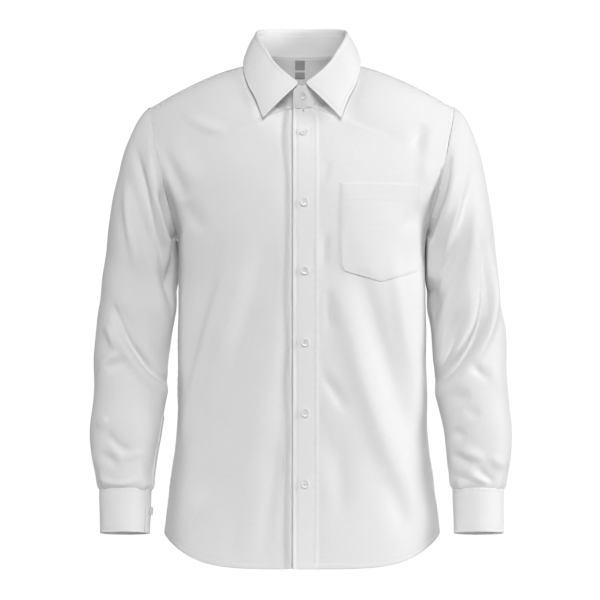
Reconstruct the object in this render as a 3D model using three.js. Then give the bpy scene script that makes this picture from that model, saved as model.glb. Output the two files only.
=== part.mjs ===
import * as THREE from 'three';

// Men's long sleeve dress shirt, buttoned up and filled out as if worn, with nobody inside.
// Millimetres. X runs to the wearer's left, -Y is the front and Z is up.
// The origin is the middle of the neck, level with the tops of the shoulder seams.
// Every piece of cloth is a closed wall: a grid of points on its outer side, and the same
// grid set in by the thickness of the cloth, joined along the free edges.

const clothThickness = 1.2;
const cuffThickness = 1.6;
const seamGap = 0.34;
const layerGap = 0.5;
const neckGap = 1.3;
const leafGap = 1.1;
const pocketGap = 0.9;
const collarButtonLift = 0.9;
const cuffButtonLift = 0.6;

// Front edges run past the middle, the wearer's left over the right.
const frontOverlap = 13.5;
const underlapDepth = 2.1;
const underlapStart = 36;
const placketRight = 23;

// Grid counts. The armhole is shared by the front, yoke, back and sleeve.
const frontColumns = 12;
const backColumns = 22;
const columnCrowding = 1.2;
const frontFlat = 12;
const rowsBelowArm = 11;
const frontArmRows = 10;
const yokeArmRows = 5;
const backArmRows = 9;
const neckRowsFront = 4;
const neckColumnsBack = 10;
const capRows = 9;
const armholeCount = frontArmRows + yokeArmRows + backArmRows;

// Neck seam: an oval ring, high at the back and low in front. Angle 0 is the front.
const neck = { halfWidth: 68, frontDepth: 72, backDepth: 72, frontZ: -80, backZ: 10, dip: 3.5 };
const neckFrontAngle = (-Math.asin(frontOverlap / neck.halfWidth) * 180) / Math.PI;
const yokeNeckAngle = 68;

// Share of the yoke's back edge that lies behind one shoulder seam, and how far the columns
// beside the neck bow outwards.
const yokeNeckShare = 0.33;
const yokeBow = { width: 11, depth: 6 };

// Seam of collar stand and leaf, and the top of the fold, round the neck from the front.
const foldTable = [
  { angle: -12, standZ: -47, foldZ: -43, width: 0.97, depth: 1.08 },
  { angle: 0, standZ: -47, foldZ: -43, width: 0.97, depth: 1.08 },
  { angle: 22, standZ: -33, foldZ: -25, width: 0.97, depth: 1.05 },
  { angle: 39, standZ: -15, foldZ: -7, width: 0.97, depth: 1.02 },
  { angle: 53, standZ: 2, foldZ: 10, width: 0.97, depth: 0.98 },
  { angle: 85, standZ: 24, foldZ: 32, width: 0.97, depth: 0.95 },
  { angle: 130, standZ: 38, foldZ: 48, width: 0.96, depth: 0.92 },
  { angle: 180, standZ: 44, foldZ: 54.5, width: 0.95, depth: 0.91 },
];

const standRows = 3;
const standRounding = 5;

// Section of the leaf over its fold: out from the top of the stand, and up by a share of the
// rise and a length.
const foldProfile = [
  { out: -clothThickness, share: 0, up: leafGap },
  { out: -clothThickness, share: 0.62, up: 0 },
  { out: 1 - clothThickness, share: 1, up: -0.6 },
  { out: 1.4, share: 1, up: 0 },
  { out: 3.6, share: 1, up: -1.6 },
  { out: 5.2, share: 1, up: -5.5 },
];

// The leaf below its fold falls to the lower edge in this many rows, and bellies outwards.
const leafFall = { rows: 5, belly: 3.2, bellyLoss: 0.4 };
const leafHalfColumns = 14;

// Lower edge of the collar leaf, from the point in front to the middle of the back.
const leafEdgeTable = [
  { along: 0, x: 57, y: -96, z: -94 },
  { along: 0.17, x: 67, y: -81, z: -67 },
  { along: 0.32, x: 79, y: -65, z: -43 },
  { along: 0.46, x: 86, y: -43, z: -20 },
  { along: 0.58, x: 87, y: -12, z: 0 },
  { along: 0.7, x: 82, y: 28, z: 4 },
  { along: 0.8, x: 66, y: 60, z: 4 },
  { along: 0.9, x: 38, y: 81, z: 3 },
  { along: 1, x: 0, y: 88, z: 3 },
];

// The leaf stands this much further out on the wearer's right.
const leafSpread = 4;

// Top line of the shoulders, and how far they fall away to the front and the back of it.
const shoulderTable = [
  { x: 0, z: 12 },
  { x: 50, z: 9 },
  { x: 68, z: 4 },
  { x: 88, z: -4 },
  { x: 142, z: -31 },
  { x: 205, z: -57 },
  { x: 229, z: -71 },
];
const shoulderSlope = { ridgeY: 8, frontDrop: 6, frontReach: 33, backDrop: 70, backReach: 92, backPower: 2.2 };

// Armhole of the wearer's left side, from the underarm up the front and down the back.
const armholeTable = [
  { along: 0, x: 185, y: 5, z: -262 },
  { along: 1.4, x: 188.5, y: -24, z: -254 },
  { along: 2.8, x: 194, y: -46, z: -231 },
  { along: 4.2, x: 201, y: -58, z: -203 },
  { along: 5.6, x: 207, y: -60, z: -174 },
  { along: 7, x: 213.5, y: -53, z: -145 },
  { along: 8.4, x: 221, y: -37, z: -111 },
  { along: 10, x: 227.6, y: -14, z: -78 },
  { along: 12.2, x: 229, y: 9, z: -72 },
  { along: 13.8, x: 227.5, y: 40, z: -86 },
  { along: 15, x: 225, y: 58, z: -108 },
  { along: 17, x: 219, y: 72, z: -150 },
  { along: 19, x: 209, y: 74, z: -190 },
  { along: 21, x: 197, y: 60, z: -227 },
  { along: 22.6, x: 189, y: 35, z: -251 },
  { along: 24, x: 185, y: 5, z: -262 },
];

// Rows of the body below the arm. zSide is the height at the side seam.
const bodyTable = [
  { row: 0, zSide: -706, halfWidth: 205.6, zFront: -750, yFront: -111, zBack: -772, yBack: 107, power: 4.5 },
  { row: 2, zSide: -636, halfWidth: 197.8, zFront: -672, yFront: -110, zBack: -690, yBack: 107, power: 3.6 },
  { row: 4, zSide: -556, halfWidth: 187.6, zFront: -584, yFront: -112, zBack: -596, yBack: 107, power: 2.6 },
  { row: 6, zSide: -476, halfWidth: 186.6, zFront: -494, yFront: -114, zBack: -500, yBack: 108, power: 2 },
  { row: 8, zSide: -394, halfWidth: 185.8, zFront: -402, yFront: -117, zBack: -404, yBack: 113, power: 1.6 },
  { row: 10, zSide: -306, halfWidth: 184.3, zFront: -304, yFront: -119, zBack: -302, yBack: 120, power: 1.4 },
  { row: 11, zSide: -262, halfWidth: 185, zFront: -255, yFront: -119, zBack: -252, yBack: 121, power: 1.3 },
];
const bodyRound = 2.5;
const sideSeamY = { low: 3, high: 5 };

// Rows of a front beside the armhole. turn is how far the row bends towards the side.
const frontChestTable = [
  { row: 0, turn: 90, round: 2.5, power: 1.3, bulge: 0 },
  { row: 1, turn: 84, round: 2.5, power: 1.2, bulge: 0 },
  { row: 3, turn: 62, round: 2.5, power: 1.1, bulge: 1 },
  { row: 5, turn: 52, round: 2.4, power: 1.1, bulge: 8 },
  { row: 6, turn: 48, round: 2.3, power: 1.15, bulge: 15 },
  { row: 8, turn: 42, round: 2.2, power: 1.3, bulge: 16 },
  { row: 10, turn: 38, round: 2.1, power: 1.45, bulge: 9 },
];
const frontMiddleTable = [
  { row: 0, y: -119, z: -255 },
  { row: 2, y: -117, z: -194 },
  { row: 4, y: -104, z: -136 },
  { row: 5.2, y: -86, z: -102 },
  { row: 6, y: -72, z: -80 },
];

// Rows of the back beside the armhole, up to the yoke.
const backChestTable = [
  { row: 0, turn: 90, round: 2.5, power: 1.3, y: 121, z: -252 },
  { row: 2, turn: 78, round: 2.5, power: 1.2, y: 121, z: -216 },
  { row: 5, turn: 60, round: 2.5, power: 1.1, y: 117, z: -168 },
  { row: 9, turn: 50, round: 2.4, power: 1, y: 106, z: -104 },
];

// Sleeve rings from the upper arm to the wrist, for each side.
const sleeveTables = {
  right: [
    { z: -285, x: 240.4, halfWidth: 54.4, y: 10, halfDepth: 67, lean: 0 },
    { z: -345, x: 243.8, halfWidth: 57.6, y: 11, halfDepth: 63, lean: 0 },
    { z: -375, x: 246.5, halfWidth: 59.5, y: 9, halfDepth: 61, lean: 1 },
    { z: -405, x: 251.5, halfWidth: 57.8, y: 5, halfDepth: 59, lean: 2 },
    { z: -435, x: 253.5, halfWidth: 57, y: 1, halfDepth: 58, lean: 4 },
    { z: -465, x: 255, halfWidth: 56, y: -5, halfDepth: 56, lean: 6 },
    { z: -509, x: 257, halfWidth: 54.4, y: -16, halfDepth: 54, lean: 8 },
    { z: -553, x: 262, halfWidth: 52.8, y: -27, halfDepth: 51, lean: 9 },
    { z: -597, x: 263.5, halfWidth: 46, y: -35, halfDepth: 45, lean: 10 },
    { z: -627, x: 262, halfWidth: 41, y: -40, halfDepth: 39, lean: 10 },
    { z: -633, x: 261.6, halfWidth: 38.5, y: -41, halfDepth: 36.5, lean: 10 },
    { z: -641, x: 261.2, halfWidth: 33, y: -42.7, halfDepth: 31, lean: 10 },
    { z: -650, x: 261.2, halfWidth: 32.6, y: -44.2, halfDepth: 30.6, lean: 10 },
  ],
  left: [
    { z: -285, x: 238.2, halfWidth: 52.2, y: 10, halfDepth: 67, lean: 0 },
    { z: -345, x: 241.5, halfWidth: 55.5, y: 11, halfDepth: 63, lean: 0 },
    { z: -375, x: 243.8, halfWidth: 57.3, y: 9, halfDepth: 61, lean: 1 },
    { z: -405, x: 249.6, halfWidth: 56.4, y: 5, halfDepth: 59, lean: 2 },
    { z: -435, x: 251, halfWidth: 56, y: 1, halfDepth: 58, lean: 4 },
    { z: -465, x: 252, halfWidth: 54.5, y: -5, halfDepth: 56, lean: 6 },
    { z: -509, x: 254.7, halfWidth: 53.6, y: -16, halfDepth: 54, lean: 8 },
    { z: -553, x: 260.5, halfWidth: 51.3, y: -27, halfDepth: 51, lean: 9 },
    { z: -597, x: 262, halfWidth: 46, y: -35, halfDepth: 45, lean: 10 },
    { z: -627, x: 260.6, halfWidth: 41, y: -40, halfDepth: 39, lean: 10 },
    { z: -633, x: 260.6, halfWidth: 38, y: -41, halfDepth: 36, lean: 10 },
    { z: -641, x: 260.6, halfWidth: 32.6, y: -42.7, halfDepth: 30.8, lean: 10 },
    { z: -650, x: 260.6, halfWidth: 32.2, y: -44.2, halfDepth: 30.4, lean: 10 },
  ],
};
const sleeveRound = 2.25;

// How the lines of the sleeve cap leave the armhole, from the underarm (low) to the top (high),
// and how long their first and last stretches pull.
const cap = {
  outLow: 0.04,
  outHigh: 1.16,
  forward: 2,
  downLow: 1,
  downHigh: 0.85,
  leaveLow: 0.9,
  leaveHigh: 0.62,
  arrive: 0.95,
};
const sleeveRingHeights = [
  -285, -312, -339, -364, -389, -412, -434, -456, -480, -506, -532, -556, -578, -598, -616, -632, -641, -650,
];

// Cuffs: one-button cuffs with rounded sections, leaning forward with the forearm.
// openAngle is where the upper end stops, from the side next to the body towards the front.
const cuffTable = {
  right: { x: 261.2, y: -42.5, zTop: -641, zBottom: -704, topHalf: 38.8, bottomHalf: 36.6, openAngle: 32 },
  left: { x: 260.6, y: -42.5, zTop: -641, zBottom: -704, topHalf: 38, bottomHalf: 36.4, openAngle: -40 },
};
const cuffDepthRatio = 0.95;
const cuffLean = 10;
const cuffOverlapAngle = 34;
const cuffColumns = 24;
const cuffRows = 3;

// Angle round the cuff over which its lower end steps in under the upper one.
const cuffStep = { from: 316, to: 354 };

// Creases. Each runs from its first point to its last, bowed sideways by bow, as seen from the
// front or back. A height above 0 is a ridge and one below 0 a trough.
const bodyFolds = [
  { x0: -104, z0: -273, x1: -167, z1: -507, bow: 6, width: 24, height: 5 },
  { x0: -43, z0: -267, x1: -148, z1: -610, bow: -10, width: 26, height: -5 },
  { x0: -150, z0: -280, x1: -168, z1: -350, bow: 0, width: 15, height: -3 },
  { x0: -95, z0: -590, x1: -138, z1: -680, bow: 4, width: 18, height: 3 },
  { x0: 60, z0: -350, x1: 122, z1: -575, bow: -5, width: 22, height: 5 },
  { x0: 107, z0: -360, x1: 150, z1: -490, bow: -4, width: 18, height: -4 },
  { x0: 84, z0: -592, x1: 172, z1: -690, bow: 5, width: 20, height: 4 },
  { x0: -200, z0: -120, x1: -180, z1: -178, bow: 2, width: 13, height: -4 },
  { x0: 186, z0: -100, x1: 140, z1: -180, bow: 6, width: 16, height: -4 },
];
const backFolds = [
  { x0: -60, z0: -240, x1: -110, z1: -540, bow: 10, width: 28, height: 5 },
  { x0: 66, z0: -220, x1: 124, z1: -500, bow: -8, width: 28, height: 5 },
  { x0: 4, z0: -330, x1: -22, z1: -640, bow: 6, width: 30, height: -5 },
  { x0: 168, z0: -210, x1: 120, z1: -300, bow: 5, width: 18, height: -4 },
  { x0: -170, z0: -205, x1: -128, z1: -290, bow: -4, width: 18, height: -4 },
];
const sleeveFolds = {
  right: [
    { face: 'front', x0: 239, z0: -140, x1: 186, z1: -318, bow: 4, width: 14, height: 6 },
    { face: 'front', x0: 216, z0: -240, x1: 187, z1: -372, bow: 3, width: 12, height: -6 },
    { face: 'front', x0: 260, z0: -165, x1: 222, z1: -335, bow: 16, width: 13, height: 4 },
    { face: 'front', x0: 291, z0: -372, x1: 206, z1: -478, bow: 22, width: 13, height: 6 },
    { face: 'front', x0: 270, z0: -372, x1: 197, z1: -470, bow: 17, width: 12, height: -7 },
    { face: 'front', x0: 291, z0: -446, x1: 245, z1: -452, bow: -6, width: 12, height: 3 },
    { face: 'front', x0: 300, z0: -578, x1: 240, z1: -586, bow: 5, width: 12, height: -5 },
    { face: 'front', x0: 304, z0: -556, x1: 250, z1: -562, bow: -8, width: 12, height: 4 },
    { face: 'front', x0: 292, z0: -622, x1: 232, z1: -622, bow: -10, width: 11, height: 4 },
    { face: 'back', x0: 300, z0: -352, x1: 214, z1: -420, bow: -12, width: 15, height: -5 },
    { face: 'back', x0: 296, z0: -404, x1: 210, z1: -458, bow: -8, width: 14, height: 5 },
    { face: 'back', x0: 262, z0: -140, x1: 214, z1: -310, bow: 12, width: 17, height: 5 },
    { face: 'back', x0: 300, z0: -566, x1: 240, z1: -580, bow: 5, width: 12, height: 4 },
  ],
  left: [
    { face: 'front', x0: 249, z0: -180, x1: 187, z1: -369, bow: 12, width: 15, height: -6 },
    { face: 'front', x0: 214, z0: -250, x1: 188, z1: -330, bow: 0, width: 12, height: 5 },
    { face: 'front', x0: 270, z0: -296, x1: 205, z1: -477, bow: 34, width: 14, height: -8 },
    { face: 'front', x0: 290, z0: -330, x1: 262, z1: -448, bow: 14, width: 15, height: 5 },
    { face: 'front', x0: 232, z0: -400, x1: 204, z1: -446, bow: 5, width: 11, height: -5 },
    { face: 'front', x0: 232, z0: -428, x1: 209, z1: -456, bow: 0, width: 10, height: 5 },
    { face: 'front', x0: 248, z0: -577, x1: 276, z1: -588, bow: 3, width: 11, height: -5 },
    { face: 'front', x0: 230, z0: -574, x1: 262, z1: -602, bow: 3, width: 11, height: 5 },
    { face: 'front', x0: 238, z0: -612, x1: 270, z1: -628, bow: 0, width: 10, height: 4 },
    { face: 'back', x0: 296, z0: -344, x1: 212, z1: -424, bow: -14, width: 15, height: -6 },
    { face: 'back', x0: 292, z0: -398, x1: 208, z1: -462, bow: -8, width: 14, height: 5 },
    { face: 'back', x0: 258, z0: -150, x1: 212, z1: -320, bow: 10, width: 17, height: 5 },
    { face: 'back', x0: 298, z0: -570, x1: 238, z1: -582, bow: -4, width: 12, height: 4 },
  ],
};
const foldSamples = 14;

// Creases die away over this many cells from a seam, and over this distance from the middle.
const foldFade = { seamCells: 2.2, middleFrom: 22, middleTo: 46 };

// The sleeves keep this far out from the middle, clear of the body's sides.
const bodyClearX = 185.9;

// Patch pocket on the left chest, with small cut corners and a low point in the middle.
const pocket = { left: 57, right: 173, top: -191, side: -308, bottom: -333, corner: { width: 5, height: 10 } };
const pocketRows = 8;

// Bare woven label inside the back of the neck.
const label = { halfWidth: 7.5, height: 26, thickness: 0.8, x: -3 };

// Buttons, with a raised rim. The z values are the heights of the six down the front.
const button = { radius: 6.2, thickness: 2.4, rim: 1.2, dish: 0.7, segments: 12 };
const collarButton = { x: 1.5, z: -60, radius: 5.6 };
const frontButtons = [
  { x: 2.7, z: -116 },
  { x: 2.9, z: -218 },
  { x: 3.9, z: -317 },
  { x: 4.5, z: -421 },
  { x: 4.5, z: -523 },
  { x: 4.5, z: -626 },
];

// Gauntlet strip beside the slit of each sleeve, above the cuff.
const gauntlet = { startRow: 19, endRow: 24, columns: 2, before: 3, lift: 0.5 };

const colours = { cloth: 0xf2f2f4, placket: 0xf5f5f7, button: 0xe9e7e0, label: 0xc9c9cb };

const toRadians = Math.PI / 180;

function smooth(edge0, edge1, value) {
  const t = Math.min(1, Math.max(0, (value - edge0) / (edge1 - edge0)));
  return t * t * (3 - 2 * t);
}

function range(from, to) {
  return Array.from({ length: to - from + 1 }, (unused, k) => from + k);
}

// Smooth curve through the rows of a table, by the column named key.
function tableAt(table, key, position, column) {
  const last = table.length - 1;
  const rising = table[last][key] > table[0][key];
  let i = 0;
  while (i < last - 1 && (rising ? position > table[i + 1][key] : position < table[i + 1][key])) i += 1;
  const a = table[Math.max(0, i - 1)];
  const b = table[i];
  const c = table[i + 1];
  const d = table[Math.min(last, i + 2)];
  const span = c[key] - b[key];
  const t = Math.min(1, Math.max(0, (position - b[key]) / span));
  const slopeB = a === b ? c[column] - b[column] : ((c[column] - a[column]) / (c[key] - a[key])) * span;
  const slopeC = d === c ? c[column] - b[column] : ((d[column] - b[column]) / (d[key] - b[key])) * span;
  const t2 = t * t;
  const t3 = t2 * t;
  return (2 * t3 - 3 * t2 + 1) * b[column] + (t3 - 2 * t2 + t) * slopeB
    + (3 * t2 - 2 * t3) * c[column] + (t3 - t2) * slopeC;
}

function signedPower(value, power) {
  return Math.sign(value) * Math.abs(value) ** power;
}

// Depth by which the wearer's right front edge and collar end lie under the left ones.
function underlap(side, x) {
  return side < 0 ? underlapDepth * smooth(-underlapStart, -frontOverlap, x) : 0;
}

// Point of the neck seam. The angle runs from the front round to the back.
function neckPoint(angle, side) {
  const a = angle * toRadians;
  const x = side * neck.halfWidth * Math.sin(a);
  const depth = Math.cos(a) > 0 ? neck.frontDepth : neck.backDepth;
  const y = -depth * signedPower(Math.cos(a), 0.94);
  const drop = ((1 + Math.cos(a)) / 2) ** neck.dip;
  const z = neck.backZ + (neck.frontZ - neck.backZ) * drop;
  return new THREE.Vector3(x, y + underlap(side, x) * (angle < 40 ? 1 : 0), z);
}

const armholePoints = [];
for (let k = 0; k < armholeCount; k += 1) {
  armholePoints.push(new THREE.Vector3(
    tableAt(armholeTable, 'along', k, 'x'),
    tableAt(armholeTable, 'along', k, 'y'),
    tableAt(armholeTable, 'along', k, 'z'),
  ));
}

function armholePoint(k, side) {
  const p = armholePoints[k % armholeCount];
  return new THREE.Vector3(side * p.x, p.y, p.z);
}

// Height of a crease table at a place seen from the front: the sum of its soft ridges and troughs.
function foldHeight(folds, x, z) {
  let height = 0;
  folds.forEach((fold) => {
    const dx = fold.x1 - fold.x0;
    const dz = fold.z1 - fold.z0;
    const length = Math.hypot(dx, dz);
    let nearest = Infinity;
    let place = 0;
    for (let s = 0; s <= foldSamples; s += 1) {
      const t = s / foldSamples;
      const bow = fold.bow * 4 * t * (1 - t);
      const px = fold.x0 + dx * t + (dz / length) * bow;
      const pz = fold.z0 + dz * t - (dx / length) * bow;
      const distance = Math.hypot(x - px, z - pz);
      if (distance < nearest) {
        nearest = distance;
        place = t;
      }
    }
    const ends = 0.35 + 0.65 * Math.sin(Math.PI * (0.12 + 0.76 * place));
    height += fold.height * ends * Math.exp(-((nearest / fold.width) ** 2));
  });
  return height;
}

// Unit normals of a grid of points, by differences between neighbours.
// A ring grid closes on itself across its columns.
function gridNormals(grid, facing, ring) {
  return grid.map((row, i) => row.map((point, j) => {
    const count = row.length;
    const above = grid[Math.min(grid.length - 1, i + 1)][j];
    const below = grid[Math.max(0, i - 1)][j];
    const next = ring ? row[(j + 1) % count] : row[Math.min(count - 1, j + 1)];
    const previous = ring ? row[(j + count - 1) % count] : row[Math.max(0, j - 1)];
    const across = next.clone().sub(previous);
    const along = above.clone().sub(below);
    return across.cross(along).normalize().multiplyScalar(facing);
  }));
}

// A panel holds the outer points, the outward normals and how its grid is turned.
function makePanel(grid, facing, ring) {
  return { grid, facing, ring, normals: gridNormals(grid, facing, ring) };
}

// Moves the points of a panel out by a height worked out for each, and renews its normals.
function raisePanel(panel, heightAt) {
  panel.grid.forEach((row, i) => row.forEach((point, j) => {
    point.addScaledVector(panel.normals[i][j], heightAt(point, i, j, panel.normals[i][j]));
  }));
  panel.normals = gridNormals(panel.grid, panel.facing, panel.ring);
}

// Two panels meet at a seam. Where their walls would lean into each other, both take the
// mean direction.
function joinSeam(a, aPlaces, b, bPlaces) {
  aPlaces.forEach(([ai, aj, ain, ajn], k) => {
    const [bi, bj, bin, bjn] = bPlaces[k];
    const towardsB = b.grid[bin][bjn].clone().sub(a.grid[ain][ajn]);
    const na = a.normals[ai][aj];
    const nb = b.normals[bi][bj];
    if (nb.dot(towardsB) > na.dot(towardsB) && na.dot(nb) > -0.2) {
      const mean = na.clone().add(nb).normalize();
      na.copy(mean);
      nb.copy(mean);
    }
  });
}

// Draws listed edge points back towards their inner neighbours by half a seam gap.
function drawBack(panel, places, gap = seamGap / 2) {
  const moves = places.map(([i, j, iIn, jIn]) => {
    const direction = panel.grid[iIn][jIn].clone().sub(panel.grid[i][j]).normalize();
    return direction.multiplyScalar(gap);
  });
  places.forEach(([i, j], k) => panel.grid[i][j].add(moves[k]));
}

// Closed wall from a panel: outer side, inner side and rims.
function wallGeometry(panel, thickness) {
  const { grid, normals, ring } = panel;
  const rows = grid.length;
  const columns = grid[0].length;
  const outer = grid.flat();
  const inner = outer.map((p, k) => p.clone().addScaledVector(normals.flat()[k], -thickness));
  const positions = [...outer, ...inner].flatMap((p) => [p.x, p.y, p.z]);
  const shift = outer.length;
  const at = (i, j) => i * columns + (j % columns);
  const index = [];
  const quad = (a, b, c, d) => index.push(a, b, c, a, c, d);
  const columnCells = ring ? columns : columns - 1;
  for (let i = 0; i < rows - 1; i += 1) {
    for (let j = 0; j < columnCells; j += 1) {
      const a = at(i, j);
      const b = at(i, j + 1);
      const c = at(i + 1, j + 1);
      const d = at(i + 1, j);
      quad(a, b, c, d);
      quad(shift + a, shift + d, shift + c, shift + b);
    }
  }
  for (let j = 0; j < columnCells; j += 1) {
    const low = [at(0, j), at(0, j + 1)];
    const high = [at(rows - 1, j), at(rows - 1, j + 1)];
    quad(low[1], low[0], shift + low[0], shift + low[1]);
    quad(high[0], high[1], shift + high[1], shift + high[0]);
  }
  if (!ring) {
    for (let i = 0; i < rows - 1; i += 1) {
      const first = [at(i, 0), at(i + 1, 0)];
      const final = [at(i, columns - 1), at(i + 1, columns - 1)];
      quad(first[0], first[1], shift + first[1], shift + first[0]);
      quad(final[1], final[0], shift + final[0], shift + final[1]);
    }
  }
  if (panel.facing < 0) {
    for (let k = 0; k < index.length; k += 3) {
      const swap = index[k + 1];
      index[k + 1] = index[k + 2];
      index[k + 2] = swap;
    }
  }
  const geometry = new THREE.BufferGeometry();
  geometry.setAttribute('position', new THREE.Float32BufferAttribute(positions, 3));
  geometry.setIndex(index);
  geometry.computeVertexNormals();
  return geometry;
}

const group = new THREE.Group();

function addMesh(name, geometry, colour, roughness) {
  const material = new THREE.MeshStandardMaterial({ color: colour, roughness, metalness: 0 });
  const mesh = new THREE.Mesh(geometry, material);
  mesh.name = name;
  group.add(mesh);
  return mesh;
}

function addCloth(name, panel, thickness = clothThickness, colour = colours.cloth) {
  return addMesh(name, wallGeometry(panel, thickness), colour, 0.9);
}

// One row of a panel, from its inner end to its outer end, as part of a rounded oval.
// Columns crowd a little towards the inner end.
function rowPoints(start, end, shape, columns) {
  const points = [];
  const turn = shape.turn * toRadians;
  const power = 2 / shape.round;
  const xEnd = Math.sin(turn) ** power;
  const yEnd = Math.cos(turn) ** power;
  for (let j = 0; j <= columns; j += 1) {
    const t = turn * (j / columns) ** columnCrowding;
    const fx = Math.sin(t) ** power / xEnd;
    const fy = (1 - Math.cos(t) ** power) / (1 - yEnd);
    const x = start.x + (end.x - start.x) * fx;
    const middle = Math.sin(Math.PI * Math.max(0, fx) ** 0.8) * Math.sign(start.y);
    const y = start.y + (end.y - start.y) * fy + shape.bulge * middle;
    const z = start.z + (end.z - start.z) * fx ** shape.power;
    points.push(new THREE.Vector3(x, y, z));
  }
  return points;
}

function sideSeamDepth(row) {
  return sideSeamY.low + ((sideSeamY.high - sideSeamY.low) * row) / rowsBelowArm;
}

const armRowsFront = rowsBelowArm + frontArmRows;
const armRowsBack = rowsBelowArm + backArmRows;

// A front, for the wearer's left side when side is 1.
function frontPanel(side) {
  const grid = [];
  const neckRow = frontArmRows - neckRowsFront;
  for (let i = 0; i <= armRowsFront; i += 1) {
    const armRow = i - rowsBelowArm;
    let start;
    let end;
    let shape;
    if (armRow < 0) {
      const at = (column) => tableAt(bodyTable, 'row', i, column);
      start = new THREE.Vector3(-side * frontOverlap, at('yFront'), at('zFront'));
      end = new THREE.Vector3(side * at('halfWidth'), sideSeamDepth(i), at('zSide'));
      shape = { turn: 90, round: bodyRound, power: at('power'), bulge: 0 };
    } else {
      const at = (column) => tableAt(frontChestTable, 'row', armRow, column);
      end = armholePoint(armRow, side);
      shape = { turn: at('turn'), round: at('round'), power: at('power'), bulge: at('bulge') };
      if (armRow < neckRow) {
        const y = tableAt(frontMiddleTable, 'row', armRow, 'y');
        start = new THREE.Vector3(-side * frontOverlap, y, tableAt(frontMiddleTable, 'row', armRow, 'z'));
      } else {
        const share = (armRow - neckRow) / neckRowsFront;
        start = neckPoint(neckFrontAngle + (yokeNeckAngle - neckFrontAngle) * share, side);
        start.y -= underlap(side, start.x);
      }
    }
    // The first column spans the overlap, which is flat, and the oval starts beyond it.
    const flatEnd = Math.max(frontOverlap, side * start.x + frontFlat);
    const ovalStart = new THREE.Vector3(side * flatEnd, start.y, start.z);
    const row = [start, ...rowPoints(ovalStart, end, shape, frontColumns - 1)];
    row.forEach((p) => {
      p.y += underlap(side, p.x);
    });
    grid.push(row);
  }
  const panel = makePanel(grid, side, false);
  raisePanel(panel, (p, i, j) => {
    const fromMiddle = smooth(foldFade.middleFrom, foldFade.middleTo, Math.abs(p.x));
    const fromSide = smooth(0, foldFade.seamCells, frontColumns - j);
    const fromTop = smooth(0, foldFade.seamCells, armRowsFront - i);
    return foldHeight(bodyFolds, p.x, p.z) * fromMiddle * fromSide * fromTop;
  });
  return panel;
}

// The back, from its right side seam to its left one.
function backPanel() {
  const grid = [];
  for (let i = 0; i <= armRowsBack; i += 1) {
    const armRow = i - rowsBelowArm;
    let middle;
    let end;
    let shape;
    if (armRow < 0) {
      const at = (column) => tableAt(bodyTable, 'row', i, column);
      middle = new THREE.Vector3(0, at('yBack'), at('zBack'));
      end = new THREE.Vector3(at('halfWidth'), sideSeamDepth(i), at('zSide'));
      shape = { turn: 90, round: bodyRound, power: at('power'), bulge: 0 };
    } else {
      const at = (column) => tableAt(backChestTable, 'row', armRow, column);
      middle = new THREE.Vector3(0, at('y'), at('z'));
      end = armholePoint((armholeCount - armRow) % armholeCount, 1);
      shape = { turn: at('turn'), round: at('round'), power: at('power'), bulge: 0 };
    }
    const half = rowPoints(middle, end, shape, backColumns / 2);
    const mirrored = half.slice(1).reverse().map((p) => new THREE.Vector3(-p.x, p.y, p.z));
    grid.push([...mirrored, ...half]);
  }
  const panel = makePanel(grid, -1, false);
  raisePanel(panel, (p, i, j) => {
    const fromSide = smooth(0, foldFade.seamCells, Math.min(j, backColumns - j));
    const fromTop = smooth(0, foldFade.seamCells, armRowsBack - i);
    return foldHeight(backFolds, p.x, p.z) * fromSide * fromTop;
  });
  return panel;
}

// Point a given share of the way along a row of points, by distance.
function pointAlong(points, share) {
  const lengths = [0];
  for (let k = 1; k < points.length; k += 1) {
    lengths.push(lengths[k - 1] + points[k].distanceTo(points[k - 1]));
  }
  const target = share * lengths[lengths.length - 1];
  let k = 1;
  while (k < points.length - 1 && lengths[k] < target) k += 1;
  const t = (target - lengths[k - 1]) / (lengths[k] - lengths[k - 1]);
  return points[k - 1].clone().lerp(points[k], t);
}

// Height of the shoulders at a place seen from above.
function shoulderHeight(p) {
  const ridge = tableAt(shoulderTable, 'x', Math.min(229, Math.abs(p.x)), 'z');
  const { ridgeY } = shoulderSlope;
  if (p.y < ridgeY) return ridge - shoulderSlope.frontDrop * ((ridgeY - p.y) / shoulderSlope.frontReach) ** 2;
  return ridge - shoulderSlope.backDrop * ((p.y - ridgeY) / shoulderSlope.backReach) ** shoulderSlope.backPower;
}

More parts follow.
